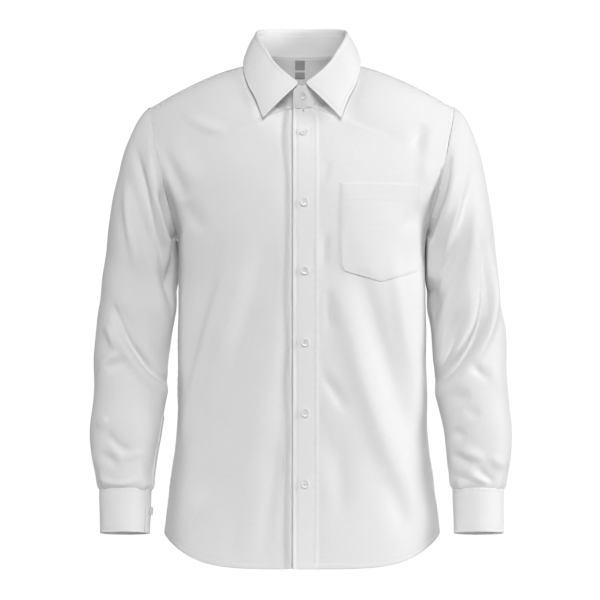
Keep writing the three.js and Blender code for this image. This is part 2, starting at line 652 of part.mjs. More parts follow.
// The yoke, from the right armhole round the back of the neck to the left armhole.
// Each column runs from the front edge over the shoulder, or from the neck, to the back seam.
function yokePanel(frontRight, frontLeft, back) {
  const frontEdge = [];
  frontRight.grid[armRowsFront].slice().reverse().forEach((p) => frontEdge.push(p.clone()));
  for (let k = 1; k < neckColumnsBack; k += 1) {
    const angle = yokeNeckAngle + (360 - 2 * yokeNeckAngle) * (k / neckColumnsBack);
    frontEdge.push(neckPoint(angle, -1));
  }
  frontLeft.grid[armRowsFront].forEach((p) => frontEdge.push(p.clone()));
  const columns = frontEdge.length - 1;
  const backRow = back.grid[armRowsBack];
  const backEdge = frontEdge.map((p, j) => {
    const fromEnd = Math.min(j, columns - j);
    const overNeck = (fromEnd - frontColumns) / neckColumnsBack;
    const share = fromEnd < frontColumns
      ? yokeNeckShare * (fromEnd / frontColumns)
      : yokeNeckShare + (1 - 2 * yokeNeckShare) * overNeck;
    return pointAlong(backRow, j === fromEnd ? share : 1 - share);
  });
  const grid = [];
  for (let i = 0; i <= yokeArmRows; i += 1) {
    const t = i / yokeArmRows;
    const row = frontEdge.map((front, j) => {
      if (j === 0) return armholePoint(frontArmRows + i, -1);
      if (j === columns) return armholePoint(frontArmRows + i, 1);
      const behind = backEdge[j];
      const p = front.clone().lerp(behind, t);
      const bow = 4 * t * (1 - t) * smooth(150, 60, Math.abs(front.x));
      p.x += yokeBow.width * bow * Math.max(-1, Math.min(1, front.x / 50));
      p.y += yokeBow.depth * bow;
      const frontMiss = front.z - shoulderHeight(front);
      const backMiss = behind.z - shoulderHeight(behind);
      p.z = shoulderHeight(p) + frontMiss * (1 - t) ** 2 + backMiss * t ** 2;
      return p;
    });
    grid.push(row);
  }
  return makePanel(grid, 1, false);
}

// Where along the ring of a sleeve a point of the armhole leads: 0 is next to the body,
// a quarter turn is the front and half a turn the outside.
function ringPoint(side, table, z, turn) {
  const at = (column) => tableAt(table, 'z', z, column);
  const power = 2 / sleeveRound;
  const across = -signedPower(Math.cos(turn), power) * at('halfWidth');
  const deep = -signedPower(Math.sin(turn), power) * at('halfDepth');
  const x = side * (at('x') + across);
  return new THREE.Vector3(x, at('y') + deep, z - deep * Math.tan(at('lean') * toRadians));
}

// A sleeve: lines from the armhole to the upper arm, then rings down to the wrist.
function sleevePanel(side, name) {
  const table = sleeveTables[name];
  const grid = [];
  const topZ = sleeveRingHeights[0];
  for (let i = 0; i < capRows; i += 1) {
    const t = i / capRows;
    const row = [];
    for (let k = 0; k < armholeCount; k += 1) {
      const turn = (2 * Math.PI * k) / armholeCount;
      const start = armholePoint(k, side);
      const end = ringPoint(side, table, topZ, turn);
      const below = ringPoint(side, table, topZ - 20, turn);
      const length = start.distanceTo(end);
      const high = (start.z - armholePoints[0].z) / (armholePoints[12].z - armholePoints[0].z);
      const mix = (low, top) => low + (top - low) * high;
      const forward = -Math.sin(turn) * cap.forward * high * (1 - high);
      const out = side * mix(cap.outLow, cap.outHigh);
      const leave = new THREE.Vector3(out, forward, -mix(cap.downLow, cap.downHigh));
      const arrive = below.sub(end).normalize();
      leave.normalize().multiplyScalar(length * mix(cap.leaveLow, cap.leaveHigh));
      arrive.multiplyScalar(length * cap.arrive);
      const t2 = t * t;
      const t3 = t2 * t;
      const p = start.clone().multiplyScalar(2 * t3 - 3 * t2 + 1);
      p.addScaledVector(leave, t3 - 2 * t2 + t);
      p.addScaledVector(end, 3 * t2 - 2 * t3);
      p.addScaledVector(arrive, t3 - t2);
      row.push(p);
    }
    grid.push(row);
  }
  sleeveRingHeights.forEach((z) => {
    const row = [];
    for (let k = 0; k < armholeCount; k += 1) {
      row.push(ringPoint(side, table, z, (2 * Math.PI * k) / armholeCount));
    }
    grid.push(row);
  });
  const panel = makePanel(grid, -side, true);
  const last = grid.length - 1;
  const front = sleeveFolds[name].filter((fold) => fold.face === 'front');
  const behind = sleeveFolds[name].filter((fold) => fold.face === 'back');
  raisePanel(panel, (p, i, j, normal) => {
    const fade = smooth(0, 3, i) * smooth(2, 4.5, last - i);
    const facingFront = smooth(-0.35, 0.35, -normal.y);
    const x = side * p.x;
    const height = foldHeight(front, x, p.z) * facingFront + foldHeight(behind, x, p.z) * (1 - facingFront);
    return height * fade;
  });
  grid.forEach((row, i) => row.forEach((p) => {
    if (i > 0 && side * p.x < bodyClearX) p.x = side * bodyClearX;
  }));
  panel.normals = gridNormals(panel.grid, panel.facing, true);
  return panel;
}

// A cuff: a strip wound once round the wrist, its upper end lying over the lower one.
function cuffPanel(side, name) {
  const size = cuffTable[name];
  const grid = [];
  const lean = Math.tan(cuffLean * toRadians);
  const total = 360 + cuffOverlapAngle;
  const columns = Math.round((cuffColumns * total) / 360);
  for (let i = 0; i <= cuffRows; i += 1) {
    const t = i / cuffRows;
    const z = size.zBottom + (size.zTop - size.zBottom) * t;
    const half = size.bottomHalf + (size.topHalf - size.bottomHalf) * t;
    const yCentre = size.y - (size.zTop - z) * lean;
    const row = [];
    for (let j = 0; j <= columns; j += 1) {
      const around = (total * j) / columns;
      const angle = (size.openAngle - around) * toRadians;
      const under = smooth(cuffStep.from, cuffStep.to, around) * (cuffThickness + layerGap);
      const r = half - under;
      const deep = -Math.sin(angle) * r * cuffDepthRatio;
      row.push(new THREE.Vector3(side * (size.x - Math.cos(angle) * r), yCentre + deep, z - deep * lean));
    }
    grid.push(row);
  }
  return makePanel(grid, -side, false);
}

// Places round the neck shared by the panels, the stand and the leaf: the angle is counted
// from the middle of the front, on the wearer's left first.
const neckAngles = [];
for (let k = 0; k <= neckRowsFront; k += 1) {
  neckAngles.push(neckFrontAngle + (yokeNeckAngle - neckFrontAngle) * (k / neckRowsFront));
}
for (let k = 1; k < neckColumnsBack; k += 1) {
  neckAngles.push(yokeNeckAngle + (360 - 2 * yokeNeckAngle) * (k / neckColumnsBack));
}
for (let k = neckRowsFront; k >= 0; k -= 1) {
  neckAngles.push(360 - (neckFrontAngle + (yokeNeckAngle - neckFrontAngle) * (k / neckRowsFront)));
}

// Point on the outside of the collar stand, at a share of its height.
function standPoint(angle, share) {
  const side = angle <= 180 ? 1 : -1;
  const a = side > 0 ? angle : 360 - angle;
  const low = neckPoint(a, side);
  const at = (column) => tableAt(foldTable, 'angle', a, column);
  const x = low.x * (1 + (at('width') - 1) * share);
  const y = low.y * (1 + (at('depth') - 1) * share);
  const rounding = a < 0 ? standRounding * ((a / neckFrontAngle) ** 2) * share : 0;
  return new THREE.Vector3(x, y, low.z + (at('standZ') - low.z) * share - rounding);
}

function standPanel() {
  const grid = [];
  for (let i = 0; i <= standRows; i += 1) {
    grid.push(neckAngles.map((angle) => standPoint(angle, i / standRows)));
  }
  const panel = makePanel(grid, 1, false);
  panel.grid[0].forEach((p) => {
    p.z += neckGap;
  });
  return panel;
}

// The leaf: from the top of the stand over the fold and down to its free edge.
// along is 0 at the front end of either side and 1 at the middle of the back.
function leafColumn(along, side) {
  const angle = 6 + 174 * along ** 1.1;
  const at = (column) => tableAt(foldTable, 'angle', angle, column);
  const top = standPoint(side > 0 ? angle : 360 - angle, 1);
  const outward = new THREE.Vector3(top.x, top.y * 0.95, 0).normalize();
  const edge = new THREE.Vector3(
    side * tableAt(leafEdgeTable, 'along', along, 'x'),
    tableAt(leafEdgeTable, 'along', along, 'y'),
    tableAt(leafEdgeTable, 'along', along, 'z'),
  );
  const rise = at('foldZ') - at('standZ');
  const column = foldProfile.map(({ out, share, up }) => {
    return top.clone().addScaledVector(outward, out).setZ(top.z + share * rise + up);
  });
  const bend = column[column.length - 1];
  for (let k = 1; k <= leafFall.rows; k += 1) {
    const t = k / leafFall.rows;
    const p = bend.clone().lerp(edge, t);
    const belly = leafFall.belly * Math.sin(Math.PI * t) * (1 - leafFall.bellyLoss * along);
    column.push(p.addScaledVector(outward, belly));
  }
  if (side < 0) {
    column.forEach((p, i) => {
      p.x -= leafSpread * Math.sin(Math.PI * along) * Math.min(1, i / (foldProfile.length - 1));
    });
  }
  return column;
}

function leafPanel() {
  const columns = [];
  for (let k = 0; k <= leafHalfColumns; k += 1) columns.push(leafColumn(k / leafHalfColumns, 1));
  for (let k = leafHalfColumns - 1; k >= 0; k -= 1) columns.push(leafColumn(k / leafHalfColumns, -1));
  const rows = columns[0].length;
  const grid = [];
  for (let i = 0; i < rows; i += 1) grid.push(columns.map((column) => column[i]));
  return makePanel(grid, -1, false);
}

// Place on a panel straight behind a point seen from the front or back.
function panelAt(panel, x, z, wantFront) {
  const { grid, normals } = panel;
  let found = null;
  const tryTriangle = (places) => {
    const [a, b, c] = places.map(([i, j]) => grid[i][j]);
    const det = (b.x - a.x) * (c.z - a.z) - (c.x - a.x) * (b.z - a.z);
    if (Math.abs(det) < 1e-9) return;
    const u = ((x - a.x) * (c.z - a.z) - (c.x - a.x) * (z - a.z)) / det;
    const v = ((b.x - a.x) * (z - a.z) - (x - a.x) * (b.z - a.z)) / det;
    if (u < -1e-6 || v < -1e-6 || u + v > 1 + 1e-6) return;
    const y = a.y + u * (b.y - a.y) + v * (c.y - a.y);
    if (found && (wantFront ? y > found.point.y : y < found.point.y)) return;
    const [na, nb, nc] = places.map(([i, j]) => normals[i][j]);
    const normal = na.clone().multiplyScalar(1 - u - v).addScaledVector(nb, u).addScaledVector(nc, v);
    found = { point: new THREE.Vector3(x, y, z), normal: normal.normalize() };
  };
  for (let i = 0; i < grid.length - 1; i += 1) {
    for (let j = 0; j < grid[0].length - 1; j += 1) {
      tryTriangle([[i, j], [i, j + 1], [i + 1, j + 1]]);
      tryTriangle([[i, j], [i + 1, j + 1], [i + 1, j]]);
    }
  }
  return found;
}

// Piece of cloth that lies on a panel, from a grid of places seen from the front.
function layOn(panel, places, lift, wantFront = true) {
  return places.map((row) => row.map(([x, z]) => {
    const spot = panelAt(panel, x, z, wantFront);
    return spot.point.clone().addScaledVector(spot.normal, lift);
  }));
}

// Height of the hem of a front at a distance from the middle.
function hemZ(x) {
  const low = bodyTable[0];
  const share = Math.max(0, x - frontOverlap) / (low.halfWidth - frontOverlap);
  return low.zFront + (low.zSide - low.zFront) * share ** low.power;
}

function placketPanel(front) {
  const lift = clothThickness + layerGap;
  const left = -frontOverlap + 0.6;
  const xs = [left, left + (placketRight - left) / 2, placketRight];
  const heights = [];
  const column = 1;
  for (let i = 1; i <= rowsBelowArm + frontArmRows - neckRowsFront; i += 1) {
    heights.push(front.grid[i][column].z);
  }
  const places = [xs.map((x) => [x, hemZ(x) + 0.4])];
  heights.forEach((z) => {
    if (z < neck.frontZ - 8) places.push(xs.map((x) => [x, z]));
  });
  const below = places[places.length - 1];
  const topRow = xs.map((x) => [x, neckPoint(Math.asin(x / neck.halfWidth) / toRadians, 1).z - 1.4]);
  [0.33, 0.66, 1].forEach((t) => {
    places.push(topRow.map(([x, z], k) => [x, below[k][1] + (z - below[k][1]) * t]));
  });
  return makePanel(layOn(front, places, lift), 1, false);
}

// x of a column of a panel at a height.
function columnX(panel, j, z) {
  let i = 0;
  while (i < panel.grid.length - 2 && panel.grid[i + 1][j].z < z) i += 1;
  const low = panel.grid[i][j];
  const high = panel.grid[i + 1][j];
  return low.x + ((high.x - low.x) * (z - low.z)) / (high.z - low.z);
}

function pocketPanel(front) {
  const lift = clothThickness + pocketGap;
  const { left, right, top, side, bottom, corner } = pocket;
  const margin = 2 * corner.width;
  const inside = (j) => [top, side].every((z) => {
    const x = columnX(front, j, z);
    return x > left + margin && x < right - margin;
  });
  const between = range(0, frontColumns).filter(inside);
  const places = [];
  for (let i = 0; i <= pocketRows; i += 1) {
    const share = i / pocketRows;
    const level = side + (top - side) * share;
    const xs = [left, left + corner.width];
    between.forEach((j) => xs.push(columnX(front, j, level)));
    xs.push(right - corner.width, right);
    places.push(xs.map((x) => {
      const fromEdge = Math.min(x - left, right - x);
      const inPoint = Math.max(0, fromEdge - corner.width) / ((right - left) / 2 - corner.width);
      const cut = Math.min(1, fromEdge / corner.width);
      const low = side - corner.height * cut + (bottom - side + corner.height) * inPoint;
      return [x, low + (top - low) * share];
    }));
  }
  return makePanel(layOn(front, places, lift), 1, false);
}

// The label hangs from the neck seam on the inner side of the yoke.
function labelPanel(yoke) {
  const away = clothThickness + layerGap + label.thickness;
  const places = [];
  for (let i = 0; i <= 3; i += 1) {
    const z = neck.backZ - 2 - label.height * (1 - i / 3);
    places.push([-1, 0, 1].map((s) => [label.x + s * label.halfWidth, z]));
  }
  return makePanel(layOn(yoke, places, -away, false), 1, false);
}

// A button: a round dish with a raised rim, its back against the cloth.
function buttonGeometry(radius) {
  const dishRadius = radius - button.rim;
  const profile = [
    new THREE.Vector2(0, 0),
    new THREE.Vector2(radius * 0.86, 0),
    new THREE.Vector2(radius, button.thickness * 0.55),
    new THREE.Vector2(radius - button.rim * 0.5, button.thickness),
    new THREE.Vector2(dishRadius, button.thickness - button.dish),
    new THREE.Vector2(0, button.thickness - button.dish),
  ];
  return new THREE.LatheGeometry(profile, button.segments);
}

function addButton(name, spot, lift, radius) {
  const mesh = addMesh(name, buttonGeometry(radius), colours.button, 0.35);
  mesh.position.copy(spot.point).addScaledVector(spot.normal, lift);
  mesh.quaternion.setFromUnitVectors(new THREE.Vector3(0, 1, 0), spot.normal);
}

// Middle of one cell of a panel.
function cellSpot(panel, i, j) {
  const places = [[i, j], [i + 1, j], [i, j + 1], [i + 1, j + 1]];
  const point = new THREE.Vector3();
  const normal = new THREE.Vector3();
  places.forEach(([row, column]) => {
    point.addScaledVector(panel.grid[row][column], 1 / places.length);
    normal.add(panel.normals[row][column]);
  });
  return { point, normal: normal.normalize() };
}

// Gauntlet: a strip from the sleeve's own points beside its slit, moved out. Its columns start
// a few before the cuff's opening.
function gauntletPanel(sleeve, name) {
  const turnShare = ((cuffTable[name].openAngle + 360) % 360) / 360;
  const first = Math.round(turnShare * armholeCount) - gauntlet.before;
  const grid = [];
  for (let i = gauntlet.endRow; i >= gauntlet.startRow; i -= 1) {
    const row = [];
    for (let j = 0; j <= gauntlet.columns; j += 1) {
      const k = (first + j + armholeCount) % armholeCount;
      const p = sleeve.grid[i][k].clone();
      row.push(p.addScaledVector(sleeve.normals[i][k], clothThickness + gauntlet.lift));
    }
    grid.push(row);
  }
  return grid;
}

const frontLeft = frontPanel(1);
const frontRight = frontPanel(-1);
const back = backPanel();
const yoke = yokePanel(frontRight, frontLeft, back);
const sleeveLeft = sleevePanel(1, 'left');
const sleeveRight = sleevePanel(-1, 'right');
const cuffLeft = cuffPanel(1, 'left');
const cuffRight = cuffPanel(-1, 'right');
const stand = standPanel();
const leaf = leafPanel();

const yokeLast = yoke.grid[0].length - 1;

// Edge places as [row, column, inner row, inner column].
const sideSeam = (panelColumn, inner) => range(0, rowsBelowArm).map((i) => [i, panelColumn, i, inner]);
const frontSide = sideSeam(frontColumns, frontColumns - 1);
const backLeftSide = sideSeam(backColumns, backColumns - 1);
const backRightSide = sideSeam(0, 1);
const frontArm = range(rowsBelowArm, armRowsFront).map((i) => [i, frontColumns, i, frontColumns - 1]);
const backLeftArm = range(rowsBelowArm, armRowsBack).map((i) => [i, backColumns, i, backColumns - 1]);
const backRightArm = range(rowsBelowArm, armRowsBack).map((i) => [i, 0, i, 1]);
const yokeLeftArm = range(0, yokeArmRows).map((i) => [i, yokeLast, i, yokeLast - 1]);
const yokeRightArm = range(0, yokeArmRows).map((i) => [i, 0, i, 1]);
const sleeveFrontArm = range(0, frontArmRows).map((k) => [0, k, 1, k]);
const sleeveYokeArm = range(frontArmRows, frontArmRows + yokeArmRows).map((k) => [0, k, 1, k]);
const sleeveBackArm = range(0, backArmRows).map((k) => {
  const place = (armholeCount - k) % armholeCount;
  return [0, place, 1, place];
});
const frontTop = range(0, frontColumns).map((j) => [armRowsFront, j, armRowsFront - 1, j]);
const yokeFrontLeft = range(0, frontColumns).map((j) => {
  const column = yokeLast - frontColumns + j;
  return [0, column, 1, column];
});
const yokeFrontRight = range(0, frontColumns).map((j) => [0, frontColumns - j, 1, frontColumns - j]);
const frontNeck = range(armRowsFront - neckRowsFront, armRowsFront).map((i) => [i, 0, i, 1]);
const yokeNeck = range(frontColumns, yokeLast - frontColumns).map((j) => [0, j, 1, j]);
const yokeBack = range(0, yokeLast).map((j) => [yokeArmRows, j, yokeArmRows - 1, j]);
const backTop = range(0, backColumns).map((j) => [armRowsBack, j, armRowsBack - 1, j]);

joinSeam(frontLeft, frontSide, back, backLeftSide);
joinSeam(frontRight, frontSide, back, backRightSide);
joinSeam(frontLeft, frontTop, yoke, yokeFrontLeft);
joinSeam(frontRight, frontTop, yoke, yokeFrontRight);
joinSeam(frontLeft, frontArm, sleeveLeft, sleeveFrontArm);
joinSeam(frontRight, frontArm, sleeveRight, sleeveFrontArm);
joinSeam(yoke, yokeLeftArm, sleeveLeft, sleeveYokeArm);
joinSeam(yoke, yokeRightArm, sleeveRight, sleeveYokeArm);
joinSeam(back, backLeftArm, sleeveLeft, sleeveBackArm);
joinSeam(back, backRightArm, sleeveRight, sleeveBackArm);

[frontLeft, frontRight].forEach((front) => {
  drawBack(front, [...frontSide, ...frontArm.slice(1)]);
  drawBack(front, frontTop);
  drawBack(front, frontNeck);
});
drawBack(back, [...backLeftSide, ...backLeftArm.slice(1), ...backRightSide, ...backRightArm.slice(1)]);
drawBack(back, backTop, seamGap * 0.7);
drawBack(yoke, [...yokeFrontLeft, ...yokeFrontRight, ...yokeNeck.slice(1, -1)]);
drawBack(yoke, yokeBack, seamGap * 0.7);
drawBack(yoke, [...yokeLeftArm, ...yokeRightArm]);
[sleeveLeft, sleeveRight].forEach((sleeve) => {
  drawBack(sleeve, range(0, armholeCount - 1).map((k) => [0, k, 1, k]));
});

addCloth('front_left', frontLeft);
addCloth('front_right', frontRight);
addCloth('back', back);
addCloth('yoke', yoke);
addCloth('sleeve_left', sleeveLeft);
addCloth('sleeve_right', sleeveRight);
addCloth('cuff_left', cuffLeft, cuffThickness);
addCloth('cuff_right', cuffRight, cuffThickness);
addCloth('collar_stand', stand);
addCloth('collar_leaf', leaf);
const placket = placketPanel(frontLeft);
addCloth('placket', placket, clothThickness, colours.placket);
addCloth('pocket', pocketPanel(frontLeft));
addCloth('neck_label', labelPanel(yoke), label.thickness, colours.label);
addCloth('sleeve_placket_left', makePanel(gauntletPanel(sleeveLeft, 'left'), 1, false));
addCloth('sleeve_placket_right', makePanel(gauntletPanel(sleeveRight, 'right'), -1, false));

frontButtons.forEach(({ x, z }, k) => {
  addButton(`button_${k + 1}`, panelAt(placket, x, z, true), seamGap, button.radius);
});
const collarSpot = panelAt(stand, collarButton.x, collarButton.z, true);
addButton('button_collar', collarSpot, collarButtonLift, collarButton.radius);
addButton('cuff_button_left', cellSpot(cuffLeft, 1, 1), cuffButtonLift, button.radius);
addButton('cuff_button_right', cellSpot(cuffRight, 1, 1), cuffButtonLift, button.radius);

export default group;
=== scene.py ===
import math

import bmesh
import bpy
import numpy as np
from mathutils import Matrix, Vector
from mathutils.kdtree import KDTree


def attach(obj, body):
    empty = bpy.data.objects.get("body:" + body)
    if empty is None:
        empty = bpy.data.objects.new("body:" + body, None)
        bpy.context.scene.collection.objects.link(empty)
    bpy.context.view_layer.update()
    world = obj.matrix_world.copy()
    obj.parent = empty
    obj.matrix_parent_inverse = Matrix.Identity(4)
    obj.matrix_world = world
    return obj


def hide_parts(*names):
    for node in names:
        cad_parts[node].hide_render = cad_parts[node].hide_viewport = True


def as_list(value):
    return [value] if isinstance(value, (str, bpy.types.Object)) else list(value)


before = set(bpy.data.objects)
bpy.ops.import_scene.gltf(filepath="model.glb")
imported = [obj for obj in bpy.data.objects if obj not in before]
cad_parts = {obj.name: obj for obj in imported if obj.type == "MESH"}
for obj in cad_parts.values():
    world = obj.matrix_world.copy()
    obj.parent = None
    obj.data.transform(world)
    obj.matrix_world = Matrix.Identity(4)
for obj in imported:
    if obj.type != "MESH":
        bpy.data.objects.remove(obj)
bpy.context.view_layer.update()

millimetre = 0.001

# Long sleeve dress shirt, buttoned up and filled out as worn, with nobody inside.
# Lengths below are in millimetres. +X is the wearer's left, -Y the front, +Z up, and the
# origin is the middle of the neck, level with the tops of the shoulder seams.
# Each piece of cloth is a surface of two parameters on a grid: its plain form first, then
# the creases, seam lines and puckers as heights along its own normals.

cloth = {"thickness": 1.2, "cuffThickness": 1.6, "cell": 3.6}
overlap = {"front": 13.5, "depth": 2.1, "start": 36, "flat": 12}
gridSize = {"front": 12, "back": 22, "crowding": 1.2, "below": 11, "frontArm": 10, "yokeArm": 5,
            "backArm": 9, "neckFront": 4, "neckBack": 10, "armhole": 24}
frontTopRow = gridSize["below"] + gridSize["frontArm"]
backTopRow = gridSize["below"] + gridSize["backArm"]
frontNeckRow = frontTopRow - gridSize["neckFront"]


def smoothThrough(knots, values, where):
    # Cubic pieces through the values at the knots; the slope at a knot is its neighbours' chord.
    knots = np.asarray(knots, float)
    values = np.asarray(values, float)
    if knots[0] > knots[-1]:
        knots, values = knots[::-1], values[::-1]
    tail = (1,) * (values.ndim - 1)
    slopes = np.empty_like(values)
    slopes[1:-1] = (values[2:] - values[:-2]) / (knots[2:] - knots[:-2]).reshape(-1, *tail)
    slopes[0] = (values[1] - values[0]) / (knots[1] - knots[0])
    slopes[-1] = (values[-1] - values[-2]) / (knots[-1] - knots[-2])
    where = np.clip(np.asarray(where, float), knots[0], knots[-1])
    i = np.clip(np.searchsorted(knots, where, side="right") - 1, 0, len(knots) - 2)
    span = np.reshape(knots[i + 1] - knots[i], where.shape + tail)
    t = np.reshape(where - knots[i], where.shape + tail) / span
    t2, t3 = t * t, t * t * t
    return ((2 * t3 - 3 * t2 + 1) * values[i] + (t3 - 2 * t2 + t) * span * slopes[i]
            + (3 * t2 - 2 * t3) * values[i + 1] + (t3 - t2) * span * slopes[i + 1])


def tableAt(table, key, where, column):
    return smoothThrough(table[key], table[column], where)


def smoothStep(low, high, value):
    # 0 below low, 1 above high, and the cubic 3t² - 2t³ between them.
    t = np.clip((value - low) / (high - low), 0, 1)
    return t * t * (3 - 2 * t)


def signedPower(value, power):
    return np.sign(value) * np.abs(value) ** power


def stack(x, y, z):
    return np.stack(np.broadcast_arrays(x, y, z), axis=-1)


def unit(vectors):
    return vectors / np.maximum(np.linalg.norm(vectors, axis=-1, keepdims=True), 1e-12)


neck = {"halfWidth": 68, "frontDepth": 72, "backDepth": 72, "frontZ": -80, "backZ": 10, "dip": 3.5}
neckFrontAngle = -math.degrees(math.asin(overlap["front"] / neck["halfWidth"]))
yokeShape = {"neckAngle": 68, "neckShare": 0.33, "bowWidth": 11, "bowDepth": 6}

shoulderTable = {
    "x": [0, 50, 68, 88, 142, 205, 229],
    "z": [12, 9, 4, -4, -31, -57, -71],
}
shoulderSlope = {"ridgeY": 8, "frontDrop": 6, "frontReach": 33, "backDrop": 70, "backReach": 92, "backPower": 2.2}
armholeTable = {
    "along": [0, 1.4, 2.8, 4.2, 5.6, 7, 8.4, 10, 12.2, 13.8, 15, 17, 19, 21, 22.6, 24],
    "x": [185, 188.5, 194, 201, 207, 213.5, 221, 227.6, 229, 227.5, 225, 219, 209, 197, 189, 185],
    "y": [5, -24, -46, -58, -60, -53, -37, -14, 9, 40, 58, 72, 74, 60, 35, 5],
    "z": [-262, -254, -231, -203, -174, -145, -111, -78, -72, -86, -108, -150, -190, -227, -251, -262],
}
bodyTable = {
    "row": [0, 2, 4, 6, 8, 10, 11],
    "zSide": [-706, -636, -556, -476, -394, -306, -262],
    "halfWidth": [205.6, 197.8, 187.6, 186.6, 185.8, 184.3, 185],
    "zFront": [-750, -672, -584, -494, -402, -304, -255],
    "yFront": [-111, -110, -112, -114, -117, -119, -119],
    "zBack": [-772, -690, -596, -500, -404, -302, -252],
    "yBack": [107, 107, 107, 108, 113, 120, 121],
    "power": [4.5, 3.6, 2.6, 2, 1.6, 1.4, 1.3],
}
bodyRound = 2.5
sideSeamY = {"low": 3, "high": 5}
frontChestTable = {
    "row": [0, 1, 3, 5, 6, 8, 10],
    "turn": [90, 84, 62, 52, 48, 42, 38],
    "round": [2.5, 2.5, 2.5, 2.4, 2.3, 2.2, 2.1],
    "power": [1.3, 1.2, 1.1, 1.1, 1.15, 1.3, 1.45],
    "bulge": [0, 0, 1, 8, 15, 16, 9],
}
frontMiddleTable = {"row": [0, 2, 4, 5.2, 6], "y": [-119, -117, -104, -86, -72], "z": [-255, -194, -136, -102, -80]}
backChestTable = {
    "row": [0, 2, 5, 9],
    "turn": [90, 78, 60, 50],
    "round": [2.5, 2.5, 2.5, 2.4],
    "power": [1.3, 1.2, 1.1, 1],
    "y": [121, 121, 117, 106],
    "z": [-252, -216, -168, -104],
}


def underlap(side, x):
    # Depth by which the wearer's right front edge and collar end lie under the left ones.
    return overlap["depth"] * smoothStep(-overlap["start"], -overlap["front"], x) if side < 0 else 0 * x


def neckPoint(angle, side):
    # Oval ring, x = w·sin a and y = -d·cos a, high behind and dropping in front by ((1+cos a)/2)^dip.
    a = np.radians(angle)
    x = side * neck["halfWidth"] * np.sin(a)
    depth = np.where(np.cos(a) > 0, neck["frontDepth"], neck["backDepth"])
    y = -depth * signedPower(np.cos(a), 0.94)
    z = neck["backZ"] + (neck["frontZ"] - neck["backZ"]) * ((1 + np.cos(a)) / 2) ** neck["dip"]
    return stack(x, y + underlap(side, x) * (np.asarray(angle) < 40), z)


def armholePoint(along, side):
    x, y, z = (tableAt(armholeTable, "along", along, name) for name in "xyz")
    return stack(side * x, y, z)


def ovalRow(start, end, turn, roundness, power, bulge, share):
    # Arc of a superellipse from start to end: x ~ sin(t)^(2/n), y ~ 1 - cos(t)^(2/n), z ~ x^power.
    t = np.radians(turn) * share ** gridSize["crowding"]
    p = 2 / roundness
    fx = np.sin(t) ** p / np.sin(np.radians(turn)) ** p
    fy = (1 - np.clip(np.cos(t), 0, 1) ** p) / (1 - np.clip(np.cos(np.radians(turn)), 0, 1) ** p)
    fx, fy = np.clip(fx, 0, 1), np.clip(fy, 0, 1)
    crown = np.sin(np.pi * fx ** 0.8) * np.sign(start[..., 1])
    x = start[..., 0] + (end[..., 0] - start[..., 0]) * fx
    y = start[..., 1] + (end[..., 1] - start[..., 1]) * fy + bulge * crown
    z = start[..., 2] + (end[..., 2] - start[..., 2]) * fx ** power
    return stack(x, y, z)


def lowerBody(row, name):
    return tableAt(bodyTable, "row", row, name)


def sideSeamDepth(row):
    return sideSeamY["low"] + (sideSeamY["high"] - sideSeamY["low"]) * row / gridSize["below"]


def frontForm(row, column, side):
    # A front: flat across the overlap, then an oval row out to the side seam or the armhole.
    row, column = np.broadcast_arrays(np.asarray(row, float), np.asarray(column, float))
    armRow = np.clip(row - gridSize["below"], 0, None)
    low = row < gridSize["below"]
    neckRow = frontNeckRow - gridSize["below"]
    startLow = stack(-side * overlap["front"] + 0 * row, lowerBody(row, "yFront"), lowerBody(row, "zFront"))
    startChest = stack(-side * overlap["front"] + 0 * row, tableAt(frontMiddleTable, "row", armRow, "y"),
                       tableAt(frontMiddleTable, "row", armRow, "z"))
    share = np.clip((armRow - neckRow) / gridSize["neckFront"], 0, 1)
    startNeck = neckPoint(neckFrontAngle + (yokeShape["neckAngle"] - neckFrontAngle) * share, side)
    startNeck[..., 1] -= underlap(side, startNeck[..., 0])
    start = np.where(low[..., None], startLow, np.where((armRow < neckRow)[..., None], startChest, startNeck))
    endLow = stack(side * lowerBody(row, "halfWidth"), sideSeamDepth(row), lowerBody(row, "zSide"))
    end = np.where(low[..., None], endLow, armholePoint(armRow, side))
    chest = {name: tableAt(frontChestTable, "row", armRow, name) for name in ("turn", "round", "power", "bulge")}
    turn = np.where(low, 90, chest["turn"])
    roundness = np.where(low, bodyRound, chest["round"])
    power = np.where(low, lowerBody(row, "power"), chest["power"])
    bulge = np.where(low, 0, chest["bulge"])
    flatEnd = np.maximum(overlap["front"], side * start[..., 0] + overlap["flat"])
    ovalStart = stack(side * flatEnd, start[..., 1], start[..., 2])
    oval = ovalRow(ovalStart, end, turn, roundness, power, bulge, np.clip((column - 1) / (gridSize["front"] - 1), 0, 1))
    flat = start + (ovalStart - start) * np.clip(column, 0, 1)[..., None]
    points = np.where((column < 1)[..., None], flat, oval)
    points[..., 1] += underlap(side, points[..., 0])
    return points


def backForm(row, column):
    # The back: two mirrored oval rows from its middle to the side seams or the armholes.
    row, column = np.broadcast_arrays(np.asarray(row, float), np.asarray(column, float))
    armRow = np.clip(row - gridSize["below"], 0, None)
    low = row < gridSize["below"]
    chest = {name: tableAt(backChestTable, "row", armRow, name) for name in ("turn", "round", "power", "y", "z")}
    middle = stack(0 * row, np.where(low, lowerBody(row, "yBack"), chest["y"]),
                   np.where(low, lowerBody(row, "zBack"), chest["z"]))
    endLow = stack(lowerBody(row, "halfWidth"), sideSeamDepth(row), lowerBody(row, "zSide"))
    end = np.where(low[..., None], endLow, armholePoint(gridSize["armhole"] - armRow, 1))
    half = gridSize["back"] / 2
    points = ovalRow(middle, end, np.where(low, 90, chest["turn"]), np.where(low, bodyRound, chest["round"]),
                     np.where(low, lowerBody(row, "power"), chest["power"]), 0, np.abs(column - half) / half)
    points[..., 0] *= np.sign(column - half)
    return points


